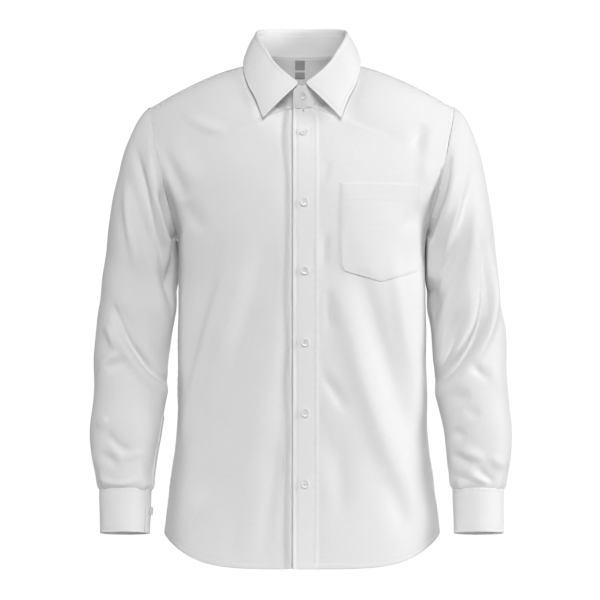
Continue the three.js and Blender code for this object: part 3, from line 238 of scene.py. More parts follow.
def pointAlong(line, share):
    # Points at shares of a line's length.
    length = np.concatenate([[0], np.cumsum(np.linalg.norm(np.diff(line, axis=0), axis=1))])
    return np.stack([np.interp(share * length[-1], length, line[:, axis]) for axis in range(3)], axis=-1)


def shoulderHeight(x, y):
    # Ridge line of the shoulders, falling away to the front and the back of it.
    ridge = tableAt(shoulderTable, "x", np.abs(x), "z")
    away = y - shoulderSlope["ridgeY"]
    front = shoulderSlope["frontDrop"] * (away / shoulderSlope["frontReach"]) ** 2
    behind = shoulderSlope["backDrop"] * (np.clip(away, 0, None) / shoulderSlope["backReach"]) ** shoulderSlope["backPower"]
    return ridge - np.where(away < 0, front, behind)


def yokeForm(share, column):
    # The yoke: lines from the front edge, or from the neck, over the shoulders to the back seam.
    share, column = np.broadcast_arrays(np.asarray(share, float), np.asarray(column, float))
    side, middle = gridSize["front"], gridSize["neckBack"]
    columns = 2 * side + middle
    overNeck = np.clip((column - side) / middle, 0, 1)
    angle = yokeShape["neckAngle"] + (360 - 2 * yokeShape["neckAngle"]) * overNeck
    right = frontForm(frontTopRow, np.clip(side - column, 0, side), -1)
    left = frontForm(frontTopRow, np.clip(column - side - middle, 0, side), 1)
    front = np.where((column <= side)[..., None], right,
                     np.where((column >= side + middle)[..., None], left, neckPoint(angle, -1)))
    fromEnd = np.minimum(column, columns - column)
    edge = yokeShape["neckShare"]
    backShare = np.where(fromEnd < side, edge * fromEnd / side, edge + (1 - 2 * edge) * (fromEnd - side) / middle)
    backShare = np.where(column <= columns / 2, backShare, 1 - backShare)
    backLine = backForm(backTopRow, np.linspace(0, gridSize["back"], 400))
    behind = pointAlong(backLine, backShare)
    t = share[..., None]
    points = front + (behind - front) * t
    bow = 4 * share * (1 - share) * smoothStep(-150, -60, -np.abs(front[..., 0]))
    points[..., 0] += yokeShape["bowWidth"] * bow * np.clip(front[..., 0] / 50, -1, 1)
    points[..., 1] += yokeShape["bowDepth"] * bow
    frontMiss = front[..., 2] - shoulderHeight(front[..., 0], front[..., 1])
    backMiss = behind[..., 2] - shoulderHeight(behind[..., 0], behind[..., 1])
    points[..., 2] = (shoulderHeight(points[..., 0], points[..., 1])
                      + frontMiss * (1 - share) ** 2 + backMiss * share ** 2)
    along = gridSize["frontArm"] + gridSize["yokeArm"] * share
    endSide = np.where(column < columns / 2, -1, 1)
    armhole = armholePoint(along, endSide)
    closeness = np.clip(1 - fromEnd, 0, 1)[..., None]
    return points + (armhole - points) * closeness


sleeveTables = {
    "right": {
        "z": [-285, -345, -375, -405, -435, -465, -509, -553, -597, -620, -634, -640, -644, -650],
        "x": [240.4, 243.8, 246.5, 251.5, 253.5, 255, 257, 262, 263.5, 262.4, 261.6, 261.3, 261.2, 261.2],
        "halfWidth": [54.4, 57.6, 59.5, 57.8, 57, 56, 54.4, 52.8, 46.5, 43, 41.4, 38.4, 34, 32.6],
        "y": [10, 11, 9, 5, 1, -5, -16, -27, -35, -39, -41.2, -42.4, -43.2, -44.2],
        "halfDepth": [67, 63, 61, 59, 58, 56, 54, 51, 45, 41.4, 39.4, 36.4, 32, 30.6],
        "lean": [0, 0, 1, 2, 4, 6, 8, 9, 10, 10, 10, 10, 10, 10],
    },
    "left": {
        "z": [-285, -345, -375, -405, -435, -465, -509, -553, -597, -620, -634, -640, -644, -650],
        "x": [238.2, 241.5, 243.8, 249.6, 251, 252, 254.7, 260.5, 262, 261, 260.6, 260.6, 260.6, 260.6],
        "halfWidth": [52.2, 55.5, 57.3, 56.4, 56, 54.5, 53.6, 51.3, 46.4, 42.7, 40.9, 37.8, 33.6, 32.2],
        "y": [10, 11, 9, 5, 1, -5, -16, -27, -35, -39, -41.2, -42.4, -43.2, -44.2],
        "halfDepth": [67, 63, 61, 59, 58, 56, 54, 51, 45, 41.2, 39, 36, 31.8, 30.4],
        "lean": [0, 0, 1, 2, 4, 6, 8, 9, 10, 10, 10, 10, 10, 10],
    },
}
sleeveShape = {"round": 2.25, "top": -285, "bottom": -650, "gather": -626, "below": 20, "bodyClearX": 186.3}
cap = {"outLow": 0.04, "outHigh": 1.16, "forward": 2, "downLow": 1, "downHigh": 0.85,
       "leaveLow": 0.9, "leaveHigh": 0.62, "arrive": 0.95}
cuffShape = {
    "right": {"x": 261.2, "topHalf": 38.8, "bottomHalf": 36.6, "openAngle": 32},
    "left": {"x": 260.6, "topHalf": 38, "bottomHalf": 36.4, "openAngle": -40},
    "y": -42.5, "zTop": -641, "zBottom": -704, "depthRatio": 0.95, "lean": 10, "overlapAngle": 34,
    "stepFrom": 316, "stepTo": 354, "layerGap": 0.5,
}
foldTable = {
    "angle": [-12, 0, 22, 39, 53, 85, 130, 180],
    "standZ": [-47, -47, -33, -15, 4, 30, 41, 44],
    "foldZ": [-43, -43, -25, -7, 12, 39.5, 51.5, 54.5],
    "width": [0.97, 0.97, 0.97, 0.97, 0.97, 0.97, 0.96, 0.95],
    "depth": [1.08, 1.08, 1.05, 1.02, 0.98, 0.95, 0.92, 0.91],
}
foldProfile = {
    "out": [-0.6, -1.2, -0.2, 1.4, 3.6, 5.2],
    "share": [0, 0.62, 1, 1, 1, 1],
    "up": [0, 0, -0.6, 0, -1.6, -5.5],
}
leafEdgeTable = {
    "along": [0, 0.17, 0.32, 0.46, 0.58, 0.7, 0.8, 0.9, 1],
    "x": [57, 67, 79, 86, 87, 82, 66, 38, 0],
    "y": [-96, -81, -65, -43, -12, 28, 60, 81, 88],
    "z": [-94, -67, -43, -20, 0, 4, 4, 3, 3],
}
leafShape = {"rows": 5, "belly": 3.2, "bellyLoss": 0.4, "spread": 0.5, "startAngle": 6, "spacing": 1.1}
collarShape = {"neckGap": 0.3, "standRounding": 5}


def ringForm(side, name, z, turn):
    # Superellipse ring of a sleeve: turn 0 is next to the body and a quarter turn the front.
    table = sleeveTables[name]
    at = {key: tableAt(table, "z", z, key) for key in ("x", "halfWidth", "y", "halfDepth", "lean")}
    p = 2 / sleeveShape["round"]
    across = -signedPower(np.cos(turn), p) * at["halfWidth"]
    deep = -signedPower(np.sin(turn), p) * at["halfDepth"]
    return stack(side * (at["x"] + across), at["y"] + deep, z - deep * np.tan(np.radians(at["lean"])))


def capForm(side, name, share, along):
    # Hermite lines from the armhole to the topmost ring; they leave outwards at the shoulder.
    share, along = np.broadcast_arrays(np.asarray(share, float), np.asarray(along, float))
    turn = 2 * np.pi * along / gridSize["armhole"]
    start = armholePoint(along, side)
    end = ringForm(side, name, sleeveShape["top"] + 0 * along, turn)
    below = ringForm(side, name, sleeveShape["top"] - sleeveShape["below"] + 0 * along, turn)
    length = np.linalg.norm(end - start, axis=-1, keepdims=True)
    lowZ = armholePoint(0, 1)[2]
    high = (start[..., 2] - lowZ) / (armholePoint(12, 1)[2] - lowZ)
    mix = lambda low, top: low + (top - low) * high
    leave = unit(stack(side * mix(cap["outLow"], cap["outHigh"]), -np.sin(turn) * cap["forward"] * high * (1 - high),
                       -mix(cap["downLow"], cap["downHigh"])))
    leave = leave * length * mix(cap["leaveLow"], cap["leaveHigh"])[..., None]
    arrive = unit(below - end) * length * cap["arrive"]
    t = share[..., None]
    t2, t3 = t * t, t * t * t
    return (2 * t3 - 3 * t2 + 1) * start + (t3 - 2 * t2 + t) * leave + (3 * t2 - 2 * t3) * end + (t3 - t2) * arrive


def cuffForm(side, name, up, around):
    # A strip wound 394 degrees round the wrist, its last stretch stepping in under its first.
    size = {**cuffShape, **cuffShape[name]}
    z = size["zBottom"] + (size["zTop"] - size["zBottom"]) * up
    half = size["bottomHalf"] + (size["topHalf"] - size["bottomHalf"]) * up
    lean = math.tan(math.radians(size["lean"]))
    angle = np.radians(size["openAngle"] - around)
    under = smoothStep(size["stepFrom"], size["stepTo"], around) * (cloth["cuffThickness"] + size["layerGap"])
    r = half - under
    deep = -np.sin(angle) * r * size["depthRatio"]
    return stack(side * (size["x"] - np.cos(angle) * r), size["y"] - (size["zTop"] - z) * lean + deep, z - deep * lean)


def standForm(angle, share):
    # Collar stand: from the neck seam up to the seam of the leaf, a little narrower above.
    side = np.where(angle <= 180, 1, -1)
    a = np.where(angle <= 180, angle, 360 - angle)
    low = np.where((side > 0)[..., None], neckPoint(a, 1), neckPoint(a, -1))
    at = {name: tableAt(foldTable, "angle", a, name) for name in ("width", "depth", "standZ")}
    x = low[..., 0] * (1 + (at["width"] - 1) * share)
    y = low[..., 1] * (1 + (at["depth"] - 1) * share)
    rounding = np.where(a < 0, collarShape["standRounding"] * (a / neckFrontAngle) ** 2 * share, 0)
    z = low[..., 2] + (at["standZ"] - low[..., 2]) * share - rounding
    return stack(x, y, z + collarShape["neckGap"] * (1 - share))


def leafForm(along, side):
    # Collar leaf: a section over the fold, then a bellied fall to the free edge, for each place
    # along the collar. Gives the section's points; the fine rows are run smoothly through them.
    angle = leafShape["startAngle"] + (180 - leafShape["startAngle"]) * along ** leafShape["spacing"]
    at = {name: tableAt(foldTable, "angle", angle, name) for name in ("foldZ", "standZ")}
    top = standForm(angle if side > 0 else 360 - angle, 1)
    outward = unit(stack(top[..., 0], top[..., 1] * 0.95, 0 * along))
    edge = stack(side * tableAt(leafEdgeTable, "along", along, "x"), tableAt(leafEdgeTable, "along", along, "y"),
                 tableAt(leafEdgeTable, "along", along, "z"))
    rise = at["foldZ"] - at["standZ"]
    section = []
    for out, share, up in zip(foldProfile["out"], foldProfile["share"], foldProfile["up"]):
        point = top + outward * out
        point[..., 2] = top[..., 2] + share * rise + up
        section.append(point)
    bend = section[-1]
    for k in range(1, leafShape["rows"] + 1):
        t = k / leafShape["rows"]
        belly = leafShape["belly"] * math.sin(math.pi * t) * (1 - leafShape["bellyLoss"] * along)
        section.append(bend + (edge - bend) * t + outward * belly[..., None])
    section = np.stack(section)
    if side < 0:
        lean = np.clip(np.arange(len(section)) / (len(foldProfile["out"]) - 1), 0, 1)
        section[..., 0] -= leafShape["spread"] * np.sin(np.pi * along) * lean[:, None]
    return section


# Each crease runs from (x0, z0) to (x1, z1), bowed sideways, as seen from the front or back.
# A height above 0 is a ridge and below 0 a trough, and skew makes one flank steeper.
# Columns: x0, z0, x1, z1, bow, width, height, skew
bodyCreases = [
    (-110, -273, -168, -464, 10, 17, -7.8, 0.2),
    (-106, -285, -180, -577, 3, 8, 5.2, 0.1),
    (-83, -288, -141, -563, 3, 19, 4.5, 0),
    (-45, -270, -155, -613, -8, 20, -7.2, 0.1),
    (-25, -403, -83, -650, 4, 21, 4.5, 0),
    (-22, -548, -58, -736, 3, 11, -3.9, 0),
    (-133, -647, -170, -700, 2, 7, 3.9, 0),
    (-128, -600, -162, -660, 3, 15, -3.9, 0),
    (-96, -660, -110, -738, -3, 15, -3.1, 0),
    (-177, -84, -110, -114, 6, 8, 3.4, 0.2),
    (-194, -121, -151, -193, 5, 14, 5.9, 0.2),
    (-196, -150, -168, -216, 4, 10, -5.2, 0),
    (-172, -214, -140, -262, 4, 12, -3.9, 0.2),
    (32, -262, 30, -314, 1, 7, -4.2, 0),
    (38, -345, 46, -411, 2, 9, -4.4, 0),
    (81, -317, 159, -570, -2, 17, -7.2, -0.1),
    (58, -346, 178, -686, 16, 18, 7.2, 0.1),
    (130, -288, 177, -534, 3, 11, 5.9, 0),
    (23, -466, 62, -522, -4, 8, -3.9, 0.2),
    (55, -563, 62, -678, 3, 15, -3.4, 0),
    (128, -620, 150, -706, -3, 14, -3.1, 0),
    (182, -100, 168, -140, 3, 9, -6.5, 0),
    (192, -118, 178, -190, 3, 10, 3.9, 0),
    (23, -96, 20, -121, 1, 5, -2.9, 0),
    (40, -157, 29, -193, 2, 6, -2.3, 0),
    (172, -214, 140, -262, -4, 12, -3.4, 0.2),
]
backCreases = [
    (-60, -240, -110, -540, 10, 24, 6.9, 0.2),
    (66, -220, 124, -500, -8, 24, 6.9, -0.2),
    (4, -330, -22, -640, 6, 26, -6.9, 0),
    (168, -210, 120, -300, 5, 15, -5.8, 0.2),
    (-170, -205, -128, -290, -4, 15, -5.8, -0.2),
    (-20, -150, -36, -262, 4, 14, 3.4, 0.2),
    (38, -140, 52, -232, -4, 13, 3.2, -0.2),
    (-150, -480, -120, -640, 6, 18, -4.6, 0),
    (138, -520, 96, -690, -6, 18, 4.6, 0),
    (-66, -590, -84, -740, 3, 16, 3.4, 0),
    (110, -330, 150, -470, 4, 14, -4.6, 0.2),
    (-112, -300, -158, -430, -4, 12, -4.6, 0.2),
    (188, -150, 160, -196, 3, 11, -3.4, 0),
    (-190, -146, -158, -200, -3, 11, -3.7, 0),
    (40, -480, 66, -610, 3, 15, -3.4, 0),
]
sleeveCreases = {
    "right": {
        "front": [
            (223, -112, 186, -320, -9, 8, 8.1, 0.2),
            (246, -136, 186, -358, 0, 6, -10, 0.2),
            (253, -191, 197, -345, 0, 8, -5.6, 0),
            (262, -183, 241, -323, -3, 6, 5, 0),
            (192, -270, 186, -395, 0, 15, -12.5, 0),
            (230, -380, 188, -476, 3, 15, -10, 0),
            (293, -397, 275, -434, 2, 6, 5, 0),
            (300, -466, 271, -441, 6, 6, 5, 0),
            (290, -462, 253, -453, 3, 8, -5, 0),
            (271, -372, 246, -426, 3, 8, -5.6, 0),
            (302, -544, 284, -534, 0, 6, 4.2, 0),
            (286, -548, 246, -581, -9, 8, -5.5, 0.2),
            (284, -562, 259, -590, -4, 7, 4.5, 0),
            (297, -588, 271, -604, 3, 7, -5, 0),
            (261, -593, 227, -584, 2, 6, 3.8, 0),
            (297, -620, 241, -622, -9, 6, 5.8, 0.2),
            (280, -629, 239, -629, -5, 5, -4.2, 0),
            (232, -598, 222, -628, 0, 6, -3.8, 0),
            (214, -198, 187, -348, 15, 6.5, -13, 0),
            (279, -368, 194, -487, -11, 6, -14, 0.3),
            (277, -392, 190, -504, -11, 8, 6.5, 0.2),
        ],
        "back": [
            (300, -352, 214, -420, -12, 11, -10, 0.3),
            (296, -372, 222, -436, -12, 8, 6.2, 0.2),
            (296, -404, 210, -458, -8, 10, 7.5, 0.25),
            (262, -140, 214, -310, 12, 13, 7.5, 0.2),
            (240, -180, 206, -330, 8, 10, -6.2, 0),
            (288, -300, 236, -350, -8, 12, 4.2, 0),
            (290, -500, 230, -530, 6, 13, -4.5, 0),
            (300, -566, 240, -580, 5, 8, 5.8, 0.2),
            (296, -600, 244, -606, -4, 7, -5, 0),
            (286, -626, 238, -622, 3, 6, 4.5, 0),
        ],
    },
    "left": {
        "front": [
            (223, -180, 187, -340, 3, 7, 8.1, 0.2),
            (212, -269, 191, -338, 2, 6, -6.2, 0),
            (254, -164, 187, -380, -13, 10, -11.2, 0.25),
            (235, -213, 203, -304, 0, 8, 5, 0),
            (189, -325, 189, -405, 0, 14, -11.2, 0),
            (243, -330, 196, -462, -26, 11, 4, 0),
            (231, -378, 194, -474, -5, 7, -10, 0.2),
            (243, -402, 190, -484, -5, 6, 6.2, 0),
            (247, -451, 277, -475, 3, 7, -4.2, 0),
            (222, -500, 246, -504, 0, 8, -6.2, 0),
            (236, -522, 262, -527, 0, 8, -3.2, 0),
            (220, -554, 240, -560, 0, 8, -6.2, 0),
            (232, -574, 266, -592, 4, 7, 6, 0.2),
            (220, -588, 248, -599, 0, 6, -6.2, 0),
            (239, -606, 275, -625, 5, 6, 6.2, 0.2),
            (258, -606, 282, -625, 3, 5, -4.8, 0),
            (221, -617, 246, -626, 0, 5, -5, 0),
            (277, -588, 299, -603, 3, 7, 4, 0),
            (284, -452, 300, -500, 4, 10, 3.8, 0),
            (213, -112, 184, -268, -10, 5.5, -11, 0.2),
            (243, -200, 182, -358, -7, 5.5, -9, 0.2),
            (268, -268, 184, -490, -40, 7, -19, 0),
            (283, -290, 190, -510, -38, 8, 9, 0),
        ],
        "back": [
            (296, -344, 212, -424, -14, 11, -10, 0.3),
            (292, -366, 220, -438, -12, 8, 6.2, 0.2),
            (292, -398, 208, -462, -8, 10, 7.5, 0.25),
            (258, -150, 212, -320, 10, 13, 7.5, 0.2),
            (238, -190, 204, -326, 6, 10, -6.2, 0),
            (284, -296, 232, -346, -6, 12, 4.2, 0),
            (288, -506, 228, -528, 5, 13, -4.5, 0),
            (298, -570, 238, -582, -4, 8, 5.8, 0.2),
            (292, -604, 240, -598, 3, 7, -5, 0),
            (284, -628, 236, -624, -3, 6, 4.5, 0),
        ],
    },
}
creaseSamples = 14


def creaseHeights(creases, x, z):
    # Sum of height · exp(-(distance / width)²), tapering to the ends; the width differs on the
    # two flanks by the skew times the sine of the direction to the nearest place of the line.
    total = np.zeros(x.shape)
    for x0, z0, x1, z1, bow, width, height, skew in creases:
        reach = 3 * width * (1 + abs(skew)) + abs(bow)
        near = ((x > min(x0, x1) - reach) & (x < max(x0, x1) + reach)
                & (z > min(z0, z1) - reach) & (z < max(z0, z1) + reach))
        if not near.any():
            continue
        px, pz = x[near], z[near]
        t = np.linspace(0, 1, creaseSamples + 1)
        length = math.hypot(x1 - x0, z1 - z0)
        bend = bow * 4 * t * (1 - t)
        lineX = x0 + (x1 - x0) * t + (z1 - z0) / length * bend
        lineZ = z0 + (z1 - z0) * t - (x1 - x0) / length * bend
        best = np.full(px.shape, np.inf)
        place = np.zeros(px.shape)
        flank = np.zeros(px.shape)
        for k in range(creaseSamples):
            ex, ez = lineX[k + 1] - lineX[k], lineZ[k + 1] - lineZ[k]
            s = np.clip(((px - lineX[k]) * ex + (pz - lineZ[k]) * ez) / (ex * ex + ez * ez), 0, 1)
            dx, dz = px - lineX[k] - s * ex, pz - lineZ[k] - s * ez
            distance = np.hypot(dx, dz)
            closer = distance < best
            best = np.where(closer, distance, best)
            place = np.where(closer, (k + s) / creaseSamples, place)
            flank = np.where(closer, (ex * dz - ez * dx) / (math.hypot(ex, ez) * np.maximum(distance, 1e-6)), flank)
        taper = np.sin(np.pi * (0.02 + 0.96 * place)) ** 0.8
        total[near] += height * taper * np.exp(-(best / (width * (1 + skew * flank))) ** 2)
    return total


tuck = {"depth": 20, "reach": 3.5, "spread": 7.5, "end": -292, "full": -235, "middleY": 5,
        "start": {-1: -160, 1: -112}}


def armpitTuck(points, distance, side):
    # Body and sleeve sink together along the low half of the armhole seam: towards the seam's
    # middle by depth · exp(-(distance / reach)²), deeper and wider on the way to the armpit.
    z = points[..., 2]
    share = smoothStep(-tuck["start"][side], -tuck["full"], -z) * smoothStep(tuck["end"], -262, z)
    reach = tuck["reach"] + tuck["spread"] * share
    inwards = np.tanh((tuck["middleY"] - points[..., 1]) / 14)
    moved = points.copy()
    moved[..., 1] += tuck["depth"] * share * np.exp(-(distance / reach) ** 2) * inwards
    return moved


def steadyDown(points, share, reach=8):
    # A running mean of the depths down each column, which evens out breaks between the rows.
    depth = points[..., 1]
    span = 3 * reach
    low = 2 * depth[:1] - depth[span:0:-1]
    high = 2 * depth[-1:] - depth[-2:-span - 2:-1]
    padded = np.concatenate([low, depth, high])
    weights = np.exp(-(np.arange(-span, span + 1) / reach) ** 2)
    mean = sum(w * padded[k:k + len(depth)] for k, w in enumerate(weights / weights.sum()))
    steadied = points.copy()
    steadied[..., 1] += (mean - depth) * share
    return steadied


def softUnrest(points, seed, size, height):
    # Faint unevenness that no pressed cloth is without: twelve slow waves in seeded directions.
    rng = np.random.default_rng(seed)
    total = np.zeros(points.shape[:-1])
    for _ in range(12):
        direction = unit(rng.normal(size=3))
        wave = 2 * np.pi / (size * rng.uniform(0.7, 1.6))
        total += np.sin(points @ direction * wave + rng.uniform(0, 2 * np.pi))
    return height * total / 3.5


def seamPucker(distance, along, seed, pitch=11, height=0.35, reach=7):
    # Small ripples square to a sewn seam, dying away from it, and the seam's own shallow dip.
    rng = np.random.default_rng(seed)
    a, b = rng.uniform(0, 6, 2)
    ripple = np.sin(2 * np.pi * along / pitch + a + 1.7 * np.sin(along / 31 + b))
    return (height * ripple - 0.3) * np.exp(-(distance / reach) ** 2)


def gridNormals(points, facing, ring=False):
    # Cross product of the differences along the columns and along the rows.
    if ring:
        across = np.roll(points, -1, axis=1) - np.roll(points, 1, axis=1)
    else:
        across = np.gradient(points, axis=1)
    return unit(np.cross(across, np.gradient(points, axis=0))) * facing


def runningLength(points, axis):
    # Distance walked along a grid's rows or columns, from its first place.
    steps = np.linalg.norm(np.diff(points, axis=axis), axis=-1)
    pad = [(1, 0) if k == axis else (0, 0) for k in range(2)]
    return np.cumsum(np.pad(steps, pad), axis=axis)


def evenSpread(form, low, high, cell, samples=240, finest=()):
    # Parameter values about one cell apart on the surface, with a few fine ones at the ends.
    trial = np.linspace(low, high, samples)
    line = form(trial)
    length = np.concatenate([[0], np.cumsum(np.linalg.norm(np.diff(line, axis=0), axis=1))])
    count = max(2, int(round(length[-1] / cell)))
    places = np.linspace(0, length[-1], count + 1)
    extra = [d if d >= 0 else length[-1] + d for d in finest]
    return np.interp(np.unique(np.concatenate([places, extra])), length, trial)


def sampleGrid(values, i, j):
    # Bilinear reading of a grid at fractional rows and columns.
    i = np.clip(i, 0, values.shape[0] - 1.000001)
    j = np.clip(j, 0, values.shape[1] - 1.000001)
    i0, j0 = i.astype(int), j.astype(int)
    s, t = (i - i0)[..., None], (j - j0)[..., None]
    return ((values[i0, j0] * (1 - s) + values[i0 + 1, j0] * s) * (1 - t)
            + (values[i0, j0 + 1] * (1 - s) + values[i0 + 1, j0 + 1] * s) * t)


def layOn(panel, x, z, lift):
    # Newton steps on the panel's rows and columns to the place seen at (x, z), then a move out.
    points, normals = panel["points"], panel["normals"]
    x, z = np.broadcast_arrays(np.asarray(x, float), np.asarray(z, float))
    rows, columns = points.shape[:2]
    tree = KDTree(rows * columns)
    for k, (px, pz) in enumerate(points[..., [0, 2]].reshape(-1, 2).tolist()):
        tree.insert((px, 0, pz), k)
    tree.balance()
    nearest = np.array([tree.find((px, 0, pz))[1] for px, pz in zip(x.ravel().tolist(), z.ravel().tolist())])
    i, j = (part.reshape(x.shape).astype(float) for part in np.divmod(nearest, columns))
    step = 0.5
    for _ in range(6):
        here = sampleGrid(points, i, j)
        alongRow = (sampleGrid(points, i, j + step) - sampleGrid(points, i, j - step)) / (2 * step)
        alongColumn = (sampleGrid(points, i + step, j) - sampleGrid(points, i - step, j)) / (2 * step)
        missX, missZ = x - here[..., 0], z - here[..., 2]
        det = alongColumn[..., 0] * alongRow[..., 2] - alongRow[..., 0] * alongColumn[..., 2]
        det = np.where(np.abs(det) < 1e-6, 1e-6, det)
        i = i + np.clip((missX * alongRow[..., 2] - alongRow[..., 0] * missZ) / det, -6, 6)
        j = j + np.clip((alongColumn[..., 0] * missZ - missX * alongColumn[..., 2]) / det, -6, 6)
        i, j = np.clip(i, 0, points.shape[0] - 1), np.clip(j, 0, points.shape[1] - 1)
    found = sampleGrid(points, i, j)
    found[..., 0], found[..., 2] = x, z
    return found + unit(sampleGrid(normals, i, j)) * np.asarray(lift)[..., None]


def makePanel(points, facing, ring=False):
    return {"points": points, "facing": facing, "ring": ring, "normals": gridNormals(points, facing, ring)}


def raisePanel(panel, heights):
    return makePanel(panel["points"] + panel["normals"] * heights[..., None], panel["facing"], panel["ring"])


def gridMesh(name, panel):
    # Quads over the grid, with a UV map in metres of cloth walked along its rows and columns.
    points, ring = panel["points"], panel["ring"]
    rows, columns = points.shape[:2]
    cells = columns if ring else columns - 1
    i, j = np.meshgrid(np.arange(rows - 1), np.arange(cells), indexing="ij")
    nextColumn = (j + 1) % columns
    corners = [(i, j), (i, nextColumn), (i + 1, nextColumn), (i + 1, j)]
    if panel["facing"] < 0:
        corners = corners[::-1]
    quads = np.stack([a * columns + b for a, b in corners], axis=-1).reshape(-1, 4)
    mesh = bpy.data.meshes.new(name)
    mesh.vertices.add(rows * columns)
    mesh.vertices.foreach_set("co", (points * millimetre).ravel())
    mesh.loops.add(quads.size)
    mesh.loops.foreach_set("vertex_index", quads.ravel())
    mesh.polygons.add(len(quads))
    mesh.polygons.foreach_set("loop_start", np.arange(0, quads.size, 4))
    mesh.polygons.foreach_set("use_smooth", np.ones(len(quads), bool))
    mesh.update()
    wide = np.concatenate([points, points[:, :1]], axis=1) if ring else points
    u = runningLength(wide, 1)
    u = u.mean(axis=0)[None, :] + 0 * u
    v = runningLength(wide, 0)
    flat = np.stack([u, v], axis=-1) * millimetre
    uvCorners = [(i, j), (i, j + 1), (i + 1, j + 1), (i + 1, j)]
    if panel["facing"] < 0:
        uvCorners = uvCorners[::-1]
    uv = np.stack([flat[a, b] for a, b in uvCorners], axis=2)
    mesh.uv_layers.new(name="cloth").data.foreach_set("uv", uv.ravel())
    mesh.validate()
    return mesh


def addPiece(name, mesh, material, nodes=()):
    piece = bpy.data.objects.new(name, mesh)
    bpy.context.scene.collection.objects.link(piece)
    mesh.materials.append(material)
    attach(piece, "root")
    if nodes:
        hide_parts(*nodes)
    return piece


def addCloth(name, panel, material, thickness=cloth["thickness"], nodes=(), edge=0.0):
    # The panel is the cloth's outer face; the wall is set inwards, and a cut edge is rounded.
    piece = addPiece(name, gridMesh(name, panel), material, nodes)
    print(f"{name}: {clothArea(panel):.4f} square metres of cloth")
    wall = piece.modifiers.new("wall", "SOLIDIFY")
    wall.thickness = thickness * millimetre
    wall.offset = -1
    wall.use_even_offset = False
    if edge:
        rounding = piece.modifiers.new("roundedEdge", "BEVEL")
        rounding.width = edge * millimetre
        rounding.segments = 2
        rounding.limit_method = "ANGLE"
        rounding.angle_limit = math.radians(55)
    return piece


def clothArea(panel):
    # Square metres of a panel: half the cross product of each cell's diagonals, summed.
    points = panel["points"]
    if panel["ring"]:
        points = np.concatenate([points, points[:, :1]], axis=1)
    first, second = points[1:, 1:] - points[:-1, :-1], points[1:, :-1] - points[:-1, 1:]
    return np.linalg.norm(np.cross(first, second), axis=-1).sum() / 2 * millimetre ** 2


def lineInside(panel, axis, end, distance, lift=0.15):
    # The line on a panel that runs at a distance inside one of its edges.
    points, normals = panel["points"], panel["normals"]
    if axis == 1:
        points, normals = points.swapaxes(0, 1), normals.swapaxes(0, 1)
    if end:
        points, normals = points[::-1], normals[::-1]
    length = runningLength(points, 0)
    k = np.clip(np.argmax(length > distance, axis=0), 1, len(points) - 1)
    column = np.arange(points.shape[1])
    t = ((distance - length[k - 1, column]) / (length[k, column] - length[k - 1, column]))[:, None]
    line = points[k - 1, column] * (1 - t) + points[k, column] * t
    normal = unit(normals[k - 1, column] * (1 - t) + normals[k, column] * t)
    return line + normal * lift, normal


stitch = {"pitch": 3.3, "length": 2.5, "radius": 0.3}


def stitchMesh(name, lines):
    # Thread stitches: a spindle of ten points at each place of the lines, along their tangents.
    places, tangents, normals = [], [], []
    for line, normal in lines:
        length = np.concatenate([[0], np.cumsum(np.linalg.norm(np.diff(line, axis=0), axis=1))])
        spots = np.arange(stitch["pitch"] / 2, length[-1], stitch["pitch"])
        at = lambda value, where: np.stack([np.interp(where, length, value[:, k]) for k in range(3)], axis=-1)
        places.append(at(line, spots))
        tangents.append(unit(at(line, spots + 1) - at(line, spots - 1)))
        normals.append(unit(at(normal, spots)))
    centre, along, out = (np.concatenate(part) for part in (places, tangents, normals))
    across = np.cross(along, out)
    half, r = stitch["length"] / 2, stitch["radius"]
    offsets = [(-half, 0, -0.1)]
    for shift in (-0.5 * half, 0.5 * half):
        offsets += [(shift, r, 0), (shift, 0, r), (shift, -r, 0), (shift, 0, -r)]
    offsets += [(half, 0, -0.1)]
    vertices = np.stack([centre + along * a + across * b + out * c for a, b, c in offsets], axis=1)
    ring = [(k, (k + 1) % 4) for k in range(4)]
    faces = [(0, 1 + b, 1 + a, 1 + a) for a, b in ring]
    faces += [(1 + a, 1 + b, 5 + b, 5 + a) for a, b in ring]
    faces += [(9, 5 + a, 5 + b, 5 + b) for a, b in ring]
    count = len(centre)
    allFaces = []
    for face in faces:
        corners = list(dict.fromkeys(face))
        allFaces.append(np.array(corners)[None, :] + 10 * np.arange(count)[:, None])
    mesh = bpy.data.meshes.new(name)
    mesh.from_pydata((vertices.reshape(-1, 3) * millimetre).tolist(), [],
                     [row for block in allFaces for row in block.tolist()])
    mesh.polygons.foreach_set("use_smooth", np.ones(len(mesh.polygons), bool))
    mesh.update()
    return mesh


def linearColour(hexCode):
    # sRGB hex to linear light.
    part = np.array([int(hexCode[k:k + 2], 16) / 255 for k in (1, 3, 5)])
    linear = np.where(part <= 0.04045, part / 12.92, ((part + 0.055) / 1.055) ** 2.4)
    return (*linear.tolist(), 1.0)


def addNode(tree, kind, settings=(), links=()):
    node = tree.nodes.new(kind)
    for name, value in dict(settings).items():
        if name in node.inputs:
            node.inputs[name].default_value = value
        else:
            setattr(node, name, value)
    for name, source in dict(links).items():
        tree.links.new(source, node.inputs[name])
    return node


def newMaterial(name):
    material = bpy.data.materials.new(name)
    material.use_nodes = True
    material.node_tree.nodes.clear()
    return material, material.node_tree


def wavePeriod(millimetres):
    # Scale of a Wave texture whose bands repeat after this length: 2π / (20 · length).
    return 2 * math.pi / (20 * millimetres * millimetre)


